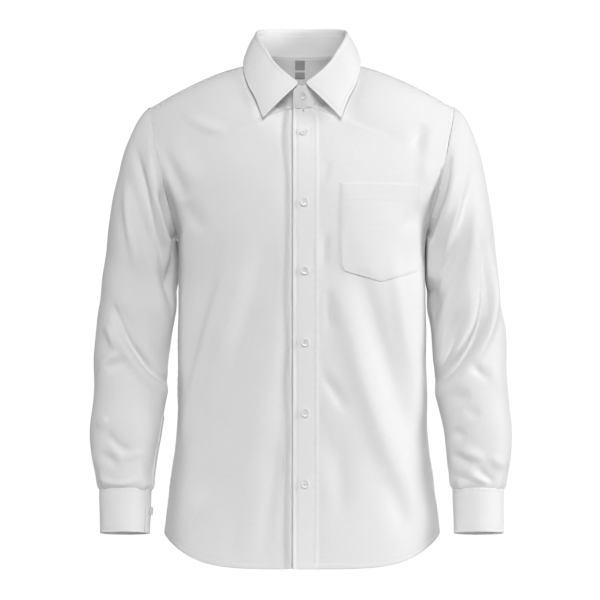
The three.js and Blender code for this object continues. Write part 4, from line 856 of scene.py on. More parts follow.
def wovenCotton(name, look):
    # White cotton poplin: tight plain weave, matt and softly sheened, with a trace of crumple.
    # The real threads are 0.25 mm apart, too fine to show here, so they're drawn coarser.
    material, tree = newMaterial(name)
    place = addNode(tree, "ShaderNodeTexCoord")
    warp = addNode(tree, "ShaderNodeTexWave", {"bands_direction": "X", "Scale": wavePeriod(look["threadMm"]),
                   "Distortion": 0.6, "Detail": 1.0, "Detail Scale": 0.4}, {"Vector": place.outputs["UV"]})
    weft = addNode(tree, "ShaderNodeTexWave", {"bands_direction": "Y", "Scale": wavePeriod(look["threadMm"] * 1.15),
                   "Distortion": 0.6, "Detail": 1.0, "Detail Scale": 0.4}, {"Vector": place.outputs["UV"]})
    weave = addNode(tree, "ShaderNodeMath", {"operation": "MAXIMUM"})
    tree.links.new(warp.outputs["Fac"], weave.inputs[0])
    tree.links.new(weft.outputs["Fac"], weave.inputs[1])
    crumple = addNode(tree, "ShaderNodeTexNoise", {"Scale": 1000 / look["crumpleMm"], "Detail": 3.0, "Roughness": 0.55},
                      {"Vector": place.outputs["Object"]})
    slub = addNode(tree, "ShaderNodeTexNoise", {"Scale": 1000 / look["slubMm"], "Detail": 4.0, "Roughness": 0.6},
                   {"Vector": place.outputs["Object"]})
    tint = addNode(tree, "ShaderNodeMix", {"data_type": "RGBA"})
    colours = [socket for socket in tint.inputs if socket.type == "RGBA"]
    colours[0].default_value = linearColour(look["colour"])
    colours[1].default_value = linearColour(look["shade"])
    tree.links.new(slub.outputs["Fac"], tint.inputs[0])
    crumpleBump = addNode(tree, "ShaderNodeBump", {"Strength": look["crumple"], "Distance": 0.0008},
                          {"Height": crumple.outputs["Fac"]})
    weaveBump = addNode(tree, "ShaderNodeBump", {"Strength": look["weave"], "Distance": 0.0002},
                        {"Height": weave.outputs[0], "Normal": crumpleBump.outputs["Normal"]})
    shader = addNode(tree, "ShaderNodeBsdfPrincipled", {
        "Roughness": 0.88, "IOR": 1.53, "Specular IOR Level": 0.3, "Sheen Weight": 0.12, "Sheen Roughness": 0.5,
    }, {"Normal": weaveBump.outputs["Normal"]})
    tree.links.new([socket for socket in tint.outputs if socket.type == "RGBA"][0], shader.inputs["Base Color"])
    out = addNode(tree, "ShaderNodeOutputMaterial", (), {"Surface": shader.outputs["BSDF"]})
    out.is_active_output = True
    return material


def sewingThread(name, colour):
    # Cotton-wrapped polyester sewing thread: fine twisted strands, faintly shiny.
    material, tree = newMaterial(name)
    place = addNode(tree, "ShaderNodeTexCoord")
    twist = addNode(tree, "ShaderNodeTexNoise", {"Scale": 1400.0, "Detail": 2.0}, {"Vector": place.outputs["Object"]})
    bump = addNode(tree, "ShaderNodeBump", {"Strength": 0.4, "Distance": 0.0001}, {"Height": twist.outputs["Fac"]})
    shader = addNode(tree, "ShaderNodeBsdfPrincipled", {
        "Base Color": linearColour(colour), "Roughness": 0.6, "IOR": 1.52, "Sheen Weight": 0.1,
    }, {"Normal": bump.outputs["Normal"]})
    addNode(tree, "ShaderNodeOutputMaterial", (), {"Surface": shader.outputs["BSDF"]})
    return material


def pearlResin(name, look):
    # Cast polyester resin with a pearl powder in it: glossy, with faint cloudy swirls.
    material, tree = newMaterial(name)
    place = addNode(tree, "ShaderNodeTexCoord")
    cloud = addNode(tree, "ShaderNodeTexNoise", {"Scale": 1000 / look["cloudMm"], "Detail": 3.0, "Distortion": 1.5},
                    {"Vector": place.outputs["Object"]})
    tint = addNode(tree, "ShaderNodeMix", {"data_type": "RGBA"})
    colours = [socket for socket in tint.inputs if socket.type == "RGBA"]
    colours[0].default_value = linearColour(look["colour"])
    colours[1].default_value = linearColour(look["shade"])
    tree.links.new(cloud.outputs["Fac"], tint.inputs[0])
    shader = addNode(tree, "ShaderNodeBsdfPrincipled", {
        "Roughness": 0.28, "IOR": 1.56, "Coat Weight": 0.3, "Coat Roughness": 0.15,
    })
    tree.links.new([socket for socket in tint.outputs if socket.type == "RGBA"][0], shader.inputs["Base Color"])
    addNode(tree, "ShaderNodeOutputMaterial", (), {"Surface": shader.outputs["BSDF"]})
    return material


def satinTape(name, look):
    # Woven satin label tape: fine crosswise floats that give it a soft shine, and one bare paler
    # stripe across it, where the distance of the height from its middle is under half its width.
    material, tree = newMaterial(name)
    place = addNode(tree, "ShaderNodeTexCoord")
    floats = addNode(tree, "ShaderNodeTexWave", {"bands_direction": "Y", "Scale": wavePeriod(0.8), "Distortion": 0.4},
                     {"Vector": place.outputs["UV"]})
    bump = addNode(tree, "ShaderNodeBump", {"Strength": 0.3, "Distance": 0.0001}, {"Height": floats.outputs["Fac"]})
    height = addNode(tree, "ShaderNodeSeparateXYZ", (), {"Vector": place.outputs["Object"]})
    stripe = addNode(tree, "ShaderNodeMath", {"operation": "COMPARE"}, {0: height.outputs["Z"]})
    stripe.inputs[1].default_value = look["stripeMiddle"] / 1000
    stripe.inputs[2].default_value = look["stripeWidth"] / 2000
    colour = addNode(tree, "ShaderNodeMix", {"data_type": "RGBA"}, {0: stripe.outputs[0]})
    colour.inputs[6].default_value = linearColour(look["colour"])
    colour.inputs[7].default_value = linearColour(look["stripe"])
    shader = addNode(tree, "ShaderNodeBsdfPrincipled", {
        "Roughness": 0.45, "IOR": 1.5, "Sheen Weight": 0.2,
    }, {"Base Color": colour.outputs[2], "Normal": bump.outputs["Normal"]})
    addNode(tree, "ShaderNodeOutputMaterial", (), {"Surface": shader.outputs["BSDF"]})
    return material


bodyLook = {"colour": "#F1F1F1", "shade": "#EBEBEB", "threadMm": 0.9, "crumpleMm": 14, "slubMm": 5, "crumple": 0.3, "weave": 0.25}
crispLook = {**bodyLook, "colour": "#F4F4F4", "shade": "#EFEFEF", "crumple": 0.15}
poplin = wovenCotton("cottonPoplin", bodyLook)
crispPoplin = wovenCotton("interlinedCottonPoplin", crispLook)
thread = sewingThread("whiteSewingThread", "#EDEDED")
buttonResin = pearlResin("pearlResin", {"colour": "#F6F6F4", "shade": "#ECECEA", "cloudMm": 5})
labelTape = satinTape("greySatinTape", {"colour": "#A8A8AA", "stripe": "#E6E6E6", "stripeMiddle": -8.8, "stripeWidth": 3})
print("materials made")


seam = {"yokeDip": 0.3, "fade": 16, "hemTurn": 8, "middleFrom": 22, "middleTo": 40}
hemFine = (2, 4, 6, 7, 8, 9, 11)
edgeFine = (1.5, 3, 5, -1.5, -3, -5)


def hemStep(distance):
    # The turned-up hem is a cloth's thickness proud, with a pressed line where it is sewn.
    proud = 0.5 * (1 - smoothStep(seam["hemTurn"] - 1, seam["hemTurn"] + 1, distance))
    return proud - 0.35 * np.exp(-((distance - seam["hemTurn"]) / 1.3) ** 2)


channel = {"x": -15.5, "width": 2.6, "depth": 6.5, "topDepth": 3, "topWidth": 2, "farSide": 1.9}


def besidePlacket(points):
    # The wearer's right front and stand end sink back beside the placket's lifted edge, in an
    # uneven slot that opens wider under the collar and rises slowly to the far side:
    # depth · exp(-((x - centre) / width)²), with a larger width on that side.
    x, z = points[..., 0], points[..., 2]
    top = smoothStep(-185, -112, z)
    slack = 0.5 + 0.5 * np.sin(z / 29 + 1.4 * np.sin(z / 71))
    width = channel["width"] + 1.3 * slack + channel["topWidth"] * top
    depth = channel["depth"] + 1.5 * slack + channel["topDepth"] * top
    middle = channel["x"] - 0.55 * (width - channel["width"])
    spread = np.where(x < middle, width * channel["farSide"], width)
    moved = points.copy()
    front = (points[..., 1] < 0) & (x < -9)
    moved[..., 1] += np.where(front, depth * np.exp(-((x - middle) / spread) ** 2) * smoothStep(9, 13, -x), 0)
    return moved


def frontPanel(side):
    rows = evenSpread(lambda r: frontForm(r, 6, side), 0, frontTopRow, cloth["cell"],
                      finest=hemFine + (-1.5, -3, -5))
    slot = () if side > 0 else tuple(overlap["front"] - x for x in np.arange(-11.5, -26, -1.2))
    columns = evenSpread(lambda c: frontForm(8, c, side), 0, gridSize["front"], cloth["cell"], finest=edgeFine + slot)
    points = frontForm(rows[:, None], columns[None, :], side)
    x, z = points[..., 0], points[..., 2]
    across, up = runningLength(points, 1), runningLength(points, 0)
    fromSide, fromTop = across[:, -1:] - across, up[-1:] - up
    free = smoothStep(0, 45, up) * smoothStep(0, 40, fromTop) * smoothStep(0, 30, fromSide)
    free *= 1 - (1 - smoothStep(8, 45, across)) * smoothStep(-190, -130, z)
    points = armpitTuck(steadyDown(points, free), fromSide, side)
    if side < 0:
        points = besidePlacket(points)
    panel = makePanel(points, side)
    fromMiddle = smoothStep(seam["middleFrom"], seam["middleTo"], np.abs(x))
    fade = fromMiddle * smoothStep(0, seam["fade"], fromSide) * smoothStep(0, seam["fade"], fromTop)
    heights = creaseHeights(bodyCreases, x, z) * fade
    heights += softUnrest(points, 11 + side, 90, 0.7) * fromMiddle * smoothStep(0, 10, fromTop)
    heights += seamPucker(fromSide, up, 21 + side) + seamPucker(fromTop, across, 31 + side)
    heights += hemStep(up) * (fromSide > 2)
    heights -= seam["yokeDip"] * np.exp(-(fromTop / 2.2) ** 2)
    return raisePanel(panel, heights)


def backPanel():
    rows = evenSpread(lambda r: backForm(r, 17), 0, backTopRow, cloth["cell"], finest=hemFine + (-1.5, -3, -5))
    columns = evenSpread(lambda c: backForm(8, c), 0, gridSize["back"], cloth["cell"], finest=edgeFine)
    points = backForm(rows[:, None], columns[None, :])
    across, up = runningLength(points, 1), runningLength(points, 0)
    fromSide, fromTop = np.minimum(across, across[:, -1:] - across), up[-1:] - up
    free = smoothStep(0, 45, up) * smoothStep(0, 40, fromTop) * smoothStep(0, 30, fromSide)
    points = steadyDown(points, free)
    points = np.where(points[..., :1] < 0, armpitTuck(points, fromSide, -1), armpitTuck(points, fromSide, 1))
    panel = makePanel(points, -1)
    fade = smoothStep(0, seam["fade"], fromSide) * smoothStep(0, seam["fade"], fromTop)
    heights = creaseHeights(backCreases, points[..., 0], points[..., 2]) * fade
    heights += softUnrest(points, 5, 95, 0.8) * smoothStep(0, 10, fromTop)
    heights += seamPucker(fromSide, up, 6) + seamPucker(fromTop, across, 7) + hemStep(up)
    return raisePanel(panel, heights)


def yokePanel():
    total = 2 * gridSize["front"] + gridSize["neckBack"]
    shares = evenSpread(lambda s: yokeForm(s, 17), 0, 1, cloth["cell"] * 0.8, finest=edgeFine)
    columns = evenSpread(lambda c: yokeForm(0.5, c), 0, total, cloth["cell"], finest=edgeFine)
    panel = makePanel(yokeForm(shares[:, None], columns[None, :]), 1)
    points = panel["points"]
    across, down = runningLength(points, 1), runningLength(points, 0)
    fromArm = np.minimum(across, across[:, -1:] - across)
    fromSeam = down[-1:] - down
    fromFront = np.where(np.abs(points[..., 0]) > 64, down, down + 30)
    heights = softUnrest(points, 8, 80, 0.5) * smoothStep(0, 10, np.minimum(fromArm, np.minimum(down, fromSeam)))
    heights += seamPucker(fromArm, down, 41) + seamPucker(fromSeam, across, 42) + seamPucker(fromFront, across, 43)
    return raisePanel(panel, heights)


def sleevePanel(side, name):
    ringCells = evenSpread(lambda k: armholePoint(k, side), 0, gridSize["armhole"], cloth["cell"])[:-1]
    shares = evenSpread(lambda s: capForm(side, name, s, 9), 0, 1, cloth["cell"], finest=(1.5, 3, 5))[:-1]
    heights = np.concatenate([np.arange(sleeveShape["top"], sleeveShape["gather"], -cloth["cell"]),
                              np.linspace(sleeveShape["gather"], sleeveShape["bottom"], 16)])
    turns = 2 * np.pi * ringCells / gridSize["armhole"]
    points = np.concatenate([capForm(side, name, shares[:, None], ringCells[None, :]),
                             ringForm(side, name, heights[:, None] + 0 * turns[None, :], turns[None, :])])
    points = armpitTuck(points, runningLength(points, 0), side)
    panel = makePanel(points, -side, ring=True)
    x, z = side * points[..., 0], points[..., 2]
    down = runningLength(points, 0)
    fade = smoothStep(0, 14, down) * smoothStep(-640, -630, z)
    facing = smoothStep(-0.35, 0.35, -panel["normals"][..., 1])
    raised = creaseHeights(sleeveCreases[name]["front"], x, z) * facing
    raised += creaseHeights(sleeveCreases[name]["back"], x, z) * (1 - facing)
    raised = raised * fade + softUnrest(points, 61 + side, 75, 0.9) * fade
    along = np.broadcast_to(runningLength(points[:1], 1), z.shape)
    raised += seamPucker(down, along, 71 + side, reach=9)
    gathered = smoothStep(590, 636, -z) * smoothStep(-644, -638, z)
    raised += 0.9 * gathered * np.sin(turns * 9 + 0.8 * np.sin(turns * 2))[None, :]
    panel = raisePanel(panel, raised)
    points = panel["points"].copy()
    tooNear = side * points[..., 0] < sleeveShape["bodyClearX"]
    tooNear[0] = False
    points[..., 0] = np.where(tooNear, side * sleeveShape["bodyClearX"], points[..., 0])
    apart = np.maximum(side * points[..., 0] - sleeveShape["bodyClearX"], 0)
    touching = np.exp(-(apart / 8) ** 2) * smoothStep(-350, -328, z) * (1 - smoothStep(-276, -262, z))
    points[..., 0] -= side * apart * touching  # the sleeve leans on the body below the armpit
    return makePanel(points, -side, ring=True)


panels = {
    "front_left": frontPanel(1),
    "front_right": frontPanel(-1),
    "back": backPanel(),
    "yoke": yokePanel(),
    "sleeve_left": sleevePanel(1, "left"),
    "sleeve_right": sleevePanel(-1, "right"),
}
for name, panel in panels.items():
    piece = addCloth(name + "_cloth", panel, poplin, nodes=[name])
    rest = {"yoke": ("draped", []), "back": ("hung", ["yoke"])}.get(name, ("hung", ["yoke"]))
    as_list(rest[1])
print("body and sleeves made")


def bandGroove(distance, inset=5.5, width=1.2, depth=0.35):
    # Pressed line of a topstitch at its inset from an edge.
    return -depth * np.exp(-((distance - inset) / width) ** 2)


def cuffPanel(side, name):
    ups = np.linspace(0, 1, 44)
    around = np.linspace(0, 360 + cuffShape["overlapAngle"], 150)
    panel = makePanel(cuffForm(side, name, ups[:, None], around[None, :]), -side)
    points = panel["points"]
    across, up = runningLength(points, 1), runningLength(points, 0)
    heights = bandGroove(up) + bandGroove(up[-1:] - up) + bandGroove(across) * (across < 30)
    heights += softUnrest(points, 81 + side, 40, 0.25)
    heights += seamPucker(up[-1:] - up, across, 85 + side, pitch=9, height=0.2, reach=6) + 0.2
    return raisePanel(panel, heights)


def standPanel():
    low = neckFrontAngle
    angles = np.linspace(low, 360 - low, 260)
    shares = np.linspace(0, 1, 26)
    points = standForm(angles[None, :] + 0 * shares[:, None], shares[:, None] + 0 * angles[None, :])
    points = np.where(angles[None, :, None] > 180, besidePlacket(points), points)
    panel = makePanel(points, 1)
    up = runningLength(points, 0)
    return raisePanel(panel, bandGroove(up, inset=2.5) + softUnrest(points, 91, 45, 0.2))


def leafPanel():
    half = np.linspace(0, 1, 150)
    left = leafForm(half, 1)
    right = leafForm(half[:-1], -1)[:, ::-1]
    section = np.concatenate([left, right], axis=1)
    fold = len(foldProfile["out"]) - 1
    places = np.concatenate([np.linspace(0, fold, 26)[:-1], np.linspace(fold, len(section) - 1, 44)])
    points = smoothThrough(np.arange(len(section)), section, places)
    panel = makePanel(points, -1)
    up = runningLength(points, 0)
    across = runningLength(points, 1)
    fromEdge = up[-1:] - up
    fromPoint = np.minimum(across, across[:, -1:] - across)
    outside = smoothStep(0.4, 0.6, np.linspace(0, 1, len(points)))[:, None]
    heights = bandGroove(fromEdge) * outside + bandGroove(fromPoint) * outside * (fromEdge > 4)
    heights += softUnrest(points, 95, 60, 0.35) * outside
    return raisePanel(panel, heights)


collar = {
    "cuff_left": {"flat": (0.262, 0.065), "rests": ["sleeve_left_cloth"], "held": "hung"},
    "cuff_right": {"flat": (0.262, 0.065), "rests": ["sleeve_right_cloth"], "held": "hung"},
    "collar_stand": {"flat": (0.455, 0.04), "rests": ["yoke_cloth"], "held": "stretched"},
    "collar_leaf": {"flat": (0.50, 0.065), "rests": ["collar_stand_cloth"], "held": "folded"},
}
panels["cuff_left"] = cuffPanel(1, "left")
panels["cuff_right"] = cuffPanel(-1, "right")
panels["collar_stand"] = standPanel()
panels["collar_leaf"] = leafPanel()
for name, facts in collar.items():
    thickness = cloth["cuffThickness"] if name.startswith("cuff") else cloth["thickness"]
    piece = addCloth(name + "_cloth", panels[name], crispPoplin, thickness, [name], edge=0.4)
    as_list(facts["rests"])
print("cuffs and collar made")


placketShape = {"left": -12.9, "right": 23, "stitchLeft": -7.5, "stitchRight": 17.5, "lift": 1.7, "hemRise": 0.4}
pocketShape = {"left": 57, "right": 173, "top": -191, "side": -308, "bottom": -333, "corner": 5, "cornerHeight": 10,
               "lift": 1.45, "edgeStitch": 2.2, "hem": 24}
labelShape = {"x": -3, "halfWidth": 7.5, "height": 26, "thickness": 0.8, "below": 2}
gauntletShape = {"startRow": 19, "endRow": 24, "columns": 2, "before": 3, "lift": 1.7}


def hemHeight(x):
    # Height of a front's hem at a distance from the middle: it rises with a power of x.
    low = {name: values[0] for name, values in bodyTable.items()}
    share = np.clip((x - overlap["front"]) / (low["halfWidth"] - overlap["front"]), 0, None)
    return low["zFront"] + (low["zSide"] - low["zFront"]) * share ** low["power"]


def placketPanel():
    # A straight band from the hem to the neck seam, laid on the left front and moved out.
    xs = np.linspace(placketShape["left"], placketShape["right"], 27)
    bottom = hemHeight(xs) + placketShape["hemRise"]
    top = neckPoint(np.degrees(np.arcsin(xs / neck["halfWidth"])), 1)[:, 2] - 1.4
    up = np.linspace(0, 1, 230)[:, None]
    z = bottom + (top - bottom) * up
    panel = makePanel(layOn(panels["front_left"], xs[None, :] + 0 * z, z, placketShape["lift"] + 0 * z), 1)
    across = xs[None, :] + 0 * z
    groove = -0.4 * np.exp(-((across - placketShape["stitchLeft"]) / 1.4) ** 2)
    groove += -0.4 * np.exp(-((across - placketShape["stitchRight"]) / 1.4) ** 2)
    walked = runningLength(panel["points"], 0)
    roll = (1.0 + 0.5 * np.sin(walked / 31 + 1.1 * np.sin(walked / 57))) * smoothStep(7, 12.9, -across)
    ripple = 0.16 * np.sin(walked / 1.9 + np.sin(walked / 17)) * np.exp(-((across - placketShape["stitchRight"]) / 4) ** 2)
    return raisePanel(panel, groove + roll + ripple + 0.15)


def pocketPanel():
    # Patch pocket: straight sides, small cut corners and a shallow point below.
    low, high = pocketShape["left"], pocketShape["right"]
    xs = np.unique(np.concatenate([np.linspace(low, high, 70), [low + pocketShape["corner"], high - pocketShape["corner"]]]))
    fromEdge = np.minimum(xs - low, high - xs)
    inPoint = np.clip(fromEdge - pocketShape["corner"], 0, None) / ((high - low) / 2 - pocketShape["corner"])
    cut = np.clip(fromEdge / pocketShape["corner"], 0, 1)
    bottom = (pocketShape["side"] - pocketShape["cornerHeight"] * cut
              + (pocketShape["bottom"] - pocketShape["side"] + pocketShape["cornerHeight"]) * inPoint)
    up = np.linspace(0, 1, 90)[:, None]
    z = bottom + (pocketShape["top"] - bottom) * up
    points = layOn(panels["front_left"], xs[None, :] + 0 * z, z, pocketShape["lift"] + 0 * z)
    panel = makePanel(points, 1)
    across, walked = runningLength(points, 1), runningLength(points, 0)
    sideways = np.minimum(across, across[:, -1:] - across)
    inset = np.minimum(sideways, walked)
    heights = -0.2 * np.exp(-((inset - pocketShape["edgeStitch"]) / 1.2) ** 2)
    fromTop = walked[-1:] - walked
    heights += -0.06 * np.exp(-((fromTop - pocketShape["hem"]) / 1.4) ** 2)
    belly = np.sin(np.pi * np.clip((xs - low) / (high - low), 0, 1)) * smoothStep(0.35, 1, up)
    heights += 0.8 * belly + softUnrest(points, 101, 50, 0.35) * smoothStep(2, 12, inset)
    return raisePanel(panel, heights)


def labelPanel():
    # Bare tape hanging from the neck seam on the inside of the yoke, its sides a little raised.
    s = np.linspace(-1, 1, 13)[None, :]
    t = np.linspace(0, 1, 26)[:, None]
    x = labelShape["x"] + s * labelShape["halfWidth"] + 0 * t
    z = neck["backZ"] - labelShape["below"] - labelShape["height"] * (1 - t) + 0 * s
    away = cloth["thickness"] + 0.5 + labelShape["thickness"]
    lift = -(away + 0.5 * (1 - t) ** 2 + 0.25 * s * s * (1 - t))
    return makePanel(layOn(panels["yoke"], x, z, lift), 1)


def gauntletPanel(sleeve, side, name):
    # Strip on the back of a sleeve beside its slit, taken from the sleeve's own grid and moved out.
    points, normals = sleeve["points"], sleeve["normals"]
    openShare = (cuffShape[name]["openAngle"] + 360) % 360 / 360
    ringCount = points.shape[1]
    first = round(openShare * gridSize["armhole"]) - gauntletShape["before"]
    start, stop = first / gridSize["armhole"] * ringCount, (first + gauntletShape["columns"]) / gridSize["armhole"] * ringCount
    columns = np.linspace(start, stop, 22) % ringCount
    heights = points[:, 0, 2]
    low, high = np.argmin(np.abs(heights + 641)), np.argmin(np.abs(heights + 532))
    rows = np.linspace(low, high, 50)
    wide, wideNormals = (np.concatenate([part, part[:, :2]], axis=1) for part in (points, normals))
    i, j = np.meshgrid(rows, columns, indexing="ij")
    laid = sampleGrid(wide, i, j) + unit(sampleGrid(wideNormals, i, j)) * gauntletShape["lift"]
    panel = makePanel(laid, side)
    across = runningLength(laid, 1)
    groove = -0.35 * np.exp(-((np.minimum(across, across[:, -1:] - across) - 2) / 1.1) ** 2)
    return raisePanel(panel, groove)


laid = {
    "placket": {"flat": (0.0365, 0.70), "on": "front_left_cloth", "held": "hung"},
    "pocket": {"flat": (0.122, 0.145), "on": "front_left_cloth", "held": "hung"},
    "sleeve_placket_left": {"flat": (0.03, 0.115), "on": "sleeve_left_cloth", "held": "laid"},
    "sleeve_placket_right": {"flat": (0.03, 0.115), "on": "sleeve_right_cloth", "held": "laid"},
}
panels["placket"] = placketPanel()
panels["pocket"] = pocketPanel()
panels["sleeve_placket_left"] = gauntletPanel(panels["sleeve_left"], 1, "left")
panels["sleeve_placket_right"] = gauntletPanel(panels["sleeve_right"], -1, "right")
for name, facts in laid.items():
    piece = addCloth(name + "_cloth", panels[name], crispPoplin if name != "pocket" else poplin, nodes=[name], edge=0.35)

labelGrid = labelPanel()
label = addCloth("neck_label_tape", labelGrid, labelTape, labelShape["thickness"], ["neck_label"], edge=0.15)
print("placket, pocket, label and sleeve plackets made")


buttonShape = {"radius": 6.2, "collarRadius": 5.6, "thickness": 2.4, "rim": 1.2, "dish": 0.7, "segments": 48,
               "hole": 0.7, "holeSpread": 1.75, "lift": 0.34, "collarLift": 0.9, "cuffLift": 0.6}


def buttonMesh(radius):
    # Lathe of a rim-and-dish profile, then four holes cut through it.
    t = buttonShape["thickness"]
    dish = radius - buttonShape["rim"]
    profile = np.array([
        (0.0, 0.0), (radius * 0.8, 0.0), (radius * 0.93, t * 0.18), (radius, t * 0.52), (radius * 0.985, t * 0.82),
        (radius - buttonShape["rim"] * 0.4, t), (radius - buttonShape["rim"] * 0.75, t * 0.96),
        (dish - 0.15, t - buttonShape["dish"] * 0.8), (dish - 0.8, t - buttonShape["dish"]), (0.0, t - buttonShape["dish"]),
    ])
    angle = np.linspace(0, 2 * np.pi, buttonShape["segments"], endpoint=False)
    rings = profile[1:-1]
    ring = np.stack([rings[:, :1] * np.cos(angle), rings[:, :1] * np.sin(angle), rings[:, 1:] + 0 * angle], axis=-1)
    vertices = np.concatenate([[[0, 0, 0]], ring.reshape(-1, 3), [[0, 0, profile[-1, 1]]]])
    n, count = len(angle), len(rings)
    k = np.arange(n)
    at = lambda level, j: 1 + level * n + j % n
    faces = [[0, at(0, j + 1), at(0, j)] for j in k]
    faces += [[at(level, j), at(level, j + 1), at(level + 1, j + 1), at(level + 1, j)] for level in range(count - 1) for j in k]
    faces += [[at(count - 1, j), at(count - 1, j + 1), len(vertices) - 1] for j in k]
    mesh = bpy.data.meshes.new("buttonBlank")
    mesh.from_pydata((vertices * millimetre).tolist(), [], faces)
    blank = bpy.data.objects.new("buttonBlank", mesh)
    drillMesh = bpy.data.meshes.new("buttonDrill")
    drill = bmesh.new()
    for sx in (-1, 1):
        for sy in (-1, 1):
            spot = Matrix.Translation(Vector((sx, sy, 0)) * buttonShape["holeSpread"] / math.sqrt(2) * millimetre)
            bmesh.ops.create_cone(drill, cap_ends=True, segments=12, radius1=buttonShape["hole"] * millimetre,
                                  radius2=buttonShape["hole"] * millimetre, depth=0.02, matrix=spot)
    drill.to_mesh(drillMesh)
    drill.free()
    drillObject = bpy.data.objects.new("buttonDrill", drillMesh)
    for thing in (blank, drillObject):
        bpy.context.scene.collection.objects.link(thing)
    cut = blank.modifiers.new("holes", "BOOLEAN")
    cut.operation = "DIFFERENCE"
    cut.object = drillObject
    cut.solver = "EXACT"
    depsgraph = bpy.context.evaluated_depsgraph_get()
    result = bpy.data.meshes.new_from_object(blank.evaluated_get(depsgraph))
    for thing in (blank, drillObject):
        bpy.data.objects.remove(thing)
    return result


def frameOn(point, normal):
    # Matrix of a place whose Z is the normal and whose Y is as near upright as it can be.
    n = Vector(normal).normalized()
    across = Vector((0, 0, 1)).cross(n).normalized()
    upright = n.cross(across)
    turned = Matrix((across, upright, n)).transposed().to_4x4()
    return Matrix.Translation(Vector(point) * millimetre) @ turned


def placeCopy(name, mesh, matrix):
    copy = mesh.copy()
    copy.name = name
    copy.transform(matrix)
    copy.polygons.foreach_set("use_smooth", np.ones(len(copy.polygons), bool))
    return copy


def threadCross(radius):
    # Sewing through the four holes: two parallel loops of thread lying in the dish.
    spread = buttonShape["holeSpread"] / math.sqrt(2)
    top = buttonShape["thickness"] - buttonShape["dish"]
    lines = []
    for side in (-1, 1):
        for shift in (-0.3, 0, 0.3):
            t = np.linspace(-1, 1, 9)
            line = stack(side * spread + shift, t * spread, top + 0.55 * (1 - t ** 4) - 0.5 * (np.abs(t) > 0.98))
            lines.append(line)
    angle = np.linspace(0, 2 * np.pi, 7)[:-1]
    vertices, faces = [], []
    for line in lines:
        start = len(vertices)
        for p in line:
            vertices += [(p[0] + 0.22 * math.cos(a), p[1], p[2] + 0.22 * math.sin(a)) for a in angle]
        for level in range(len(line) - 1):
            for k in range(6):
                a, b = start + level * 6 + k, start + level * 6 + (k + 1) % 6
                faces.append((a, b, b + 6, a + 6))
    mesh = bpy.data.meshes.new("threadCross")
    mesh.from_pydata([(x * millimetre, y * millimetre, z * millimetre) for x, y, z in vertices], [], faces)
    normals = bmesh.new()
    normals.from_mesh(mesh)
    bmesh.ops.recalc_face_normals(normals, faces=normals.faces)
    normals.to_mesh(mesh)
    normals.free()
    return mesh


def buttonholeMesh():
    # A worked buttonhole: a narrow oval ring of close satin stitches, 15 mm long.
    t = np.linspace(0, 2 * np.pi, 61)[:-1]
    vertices = []
    for out, up in ((0.35, 0.0), (0.6, 0.35), (1.25, 0.35), (1.5, 0.0)):
        stretch = 6.2 * signedPower(np.sin(t), 0.6)
        tooth = up * (1 + 0.25 * np.sin(t * 30))
        vertices.append(stack(out * np.cos(t), stretch + out * np.sin(t), tooth))
    vertices = np.stack(vertices)
    n = len(t)
    faces = [(a * n + k, (a + 1) * n + k, (a + 1) * n + (k + 1) % n, a * n + (k + 1) % n) for a in range(3) for k in range(n)]
    mesh = bpy.data.meshes.new("buttonhole")
    mesh.from_pydata((vertices.reshape(-1, 3) * millimetre).tolist(), [], faces)
    return mesh


frontButtons = {"x": [2.7, 2.9, 3.9, 4.5, 4.5, 4.5], "z": [-116, -218, -317, -421, -523, -626]}
spots = {}
for number, (x, z) in enumerate(zip(frontButtons["x"], frontButtons["z"]), start=1):
    base = layOn(panels["placket"], x, z, 0.0)
    normal = (layOn(panels["placket"], x, z, 1.0) - base)
    spots[f"button_{number}"] = (base, normal, buttonShape["lift"], "upright")
base = layOn(panels["collar_stand"], 1.5, -60, 0.0)
spots["button_collar"] = (base, layOn(panels["collar_stand"], 1.5, -60, 1.0) - base, buttonShape["collarLift"], "across")
for side, name in ((1, "left"), (-1, "right")):
    panel = panels["cuff_" + name]
    rowCount, columnCount = panel["points"].shape[:2]
    i, j = (rowCount - 1) / 2, 1.5 / 26 * (columnCount - 1)
    normal = unit(sampleGrid(panel["normals"], i, j))
    spots["cuff_button_" + name] = (sampleGrid(panel["points"], i, j), normal, buttonShape["cuffLift"], "cuff")

blanks = {radius: buttonMesh(radius) for radius in (buttonShape["radius"], buttonShape["collarRadius"])}
cross, hole = threadCross(buttonShape["radius"]), buttonholeMesh()
quarterTurn = Matrix.Rotation(math.pi / 2, 4, "Z")
for name, (point, normal, lift, way) in spots.items():
    radius = buttonShape["collarRadius"] if name == "button_collar" else buttonShape["radius"]
    seat = frameOn(point + unit(normal) * lift, normal)
    tilt = Matrix.Rotation(0.12 * math.sin(7 * point[2]), 4, "Z")
    addPiece(name + "_resin", placeCopy(name, blanks[radius], seat @ tilt), buttonResin, [name])
    addPiece(name + "_thread", placeCopy(name + "Thread", cross, seat @ tilt), thread)
    ground = frameOn(point + unit(normal) * 0.05, normal)
    turn = Matrix.Identity(4) if way == "upright" else quarterTurn
    addPiece(name + "_hole", placeCopy(name + "Hole", hole, ground @ turn), thread)
print("buttons made")


def levelLine(panel, xs, zs, lift=0.15):
    base = layOn(panel, xs, zs, 0.0 * xs)
    out = unit(layOn(panel, xs, zs, 0.0 * xs + 1.0) - base)
    return base + out * lift, out


def partOf(line, low, high):
    # The stretch of a line between two shares of its points.
    n = len(line[0])
    return line[0][int(low * n):int(high * n)], line[1][int(low * n):int(high * n)]


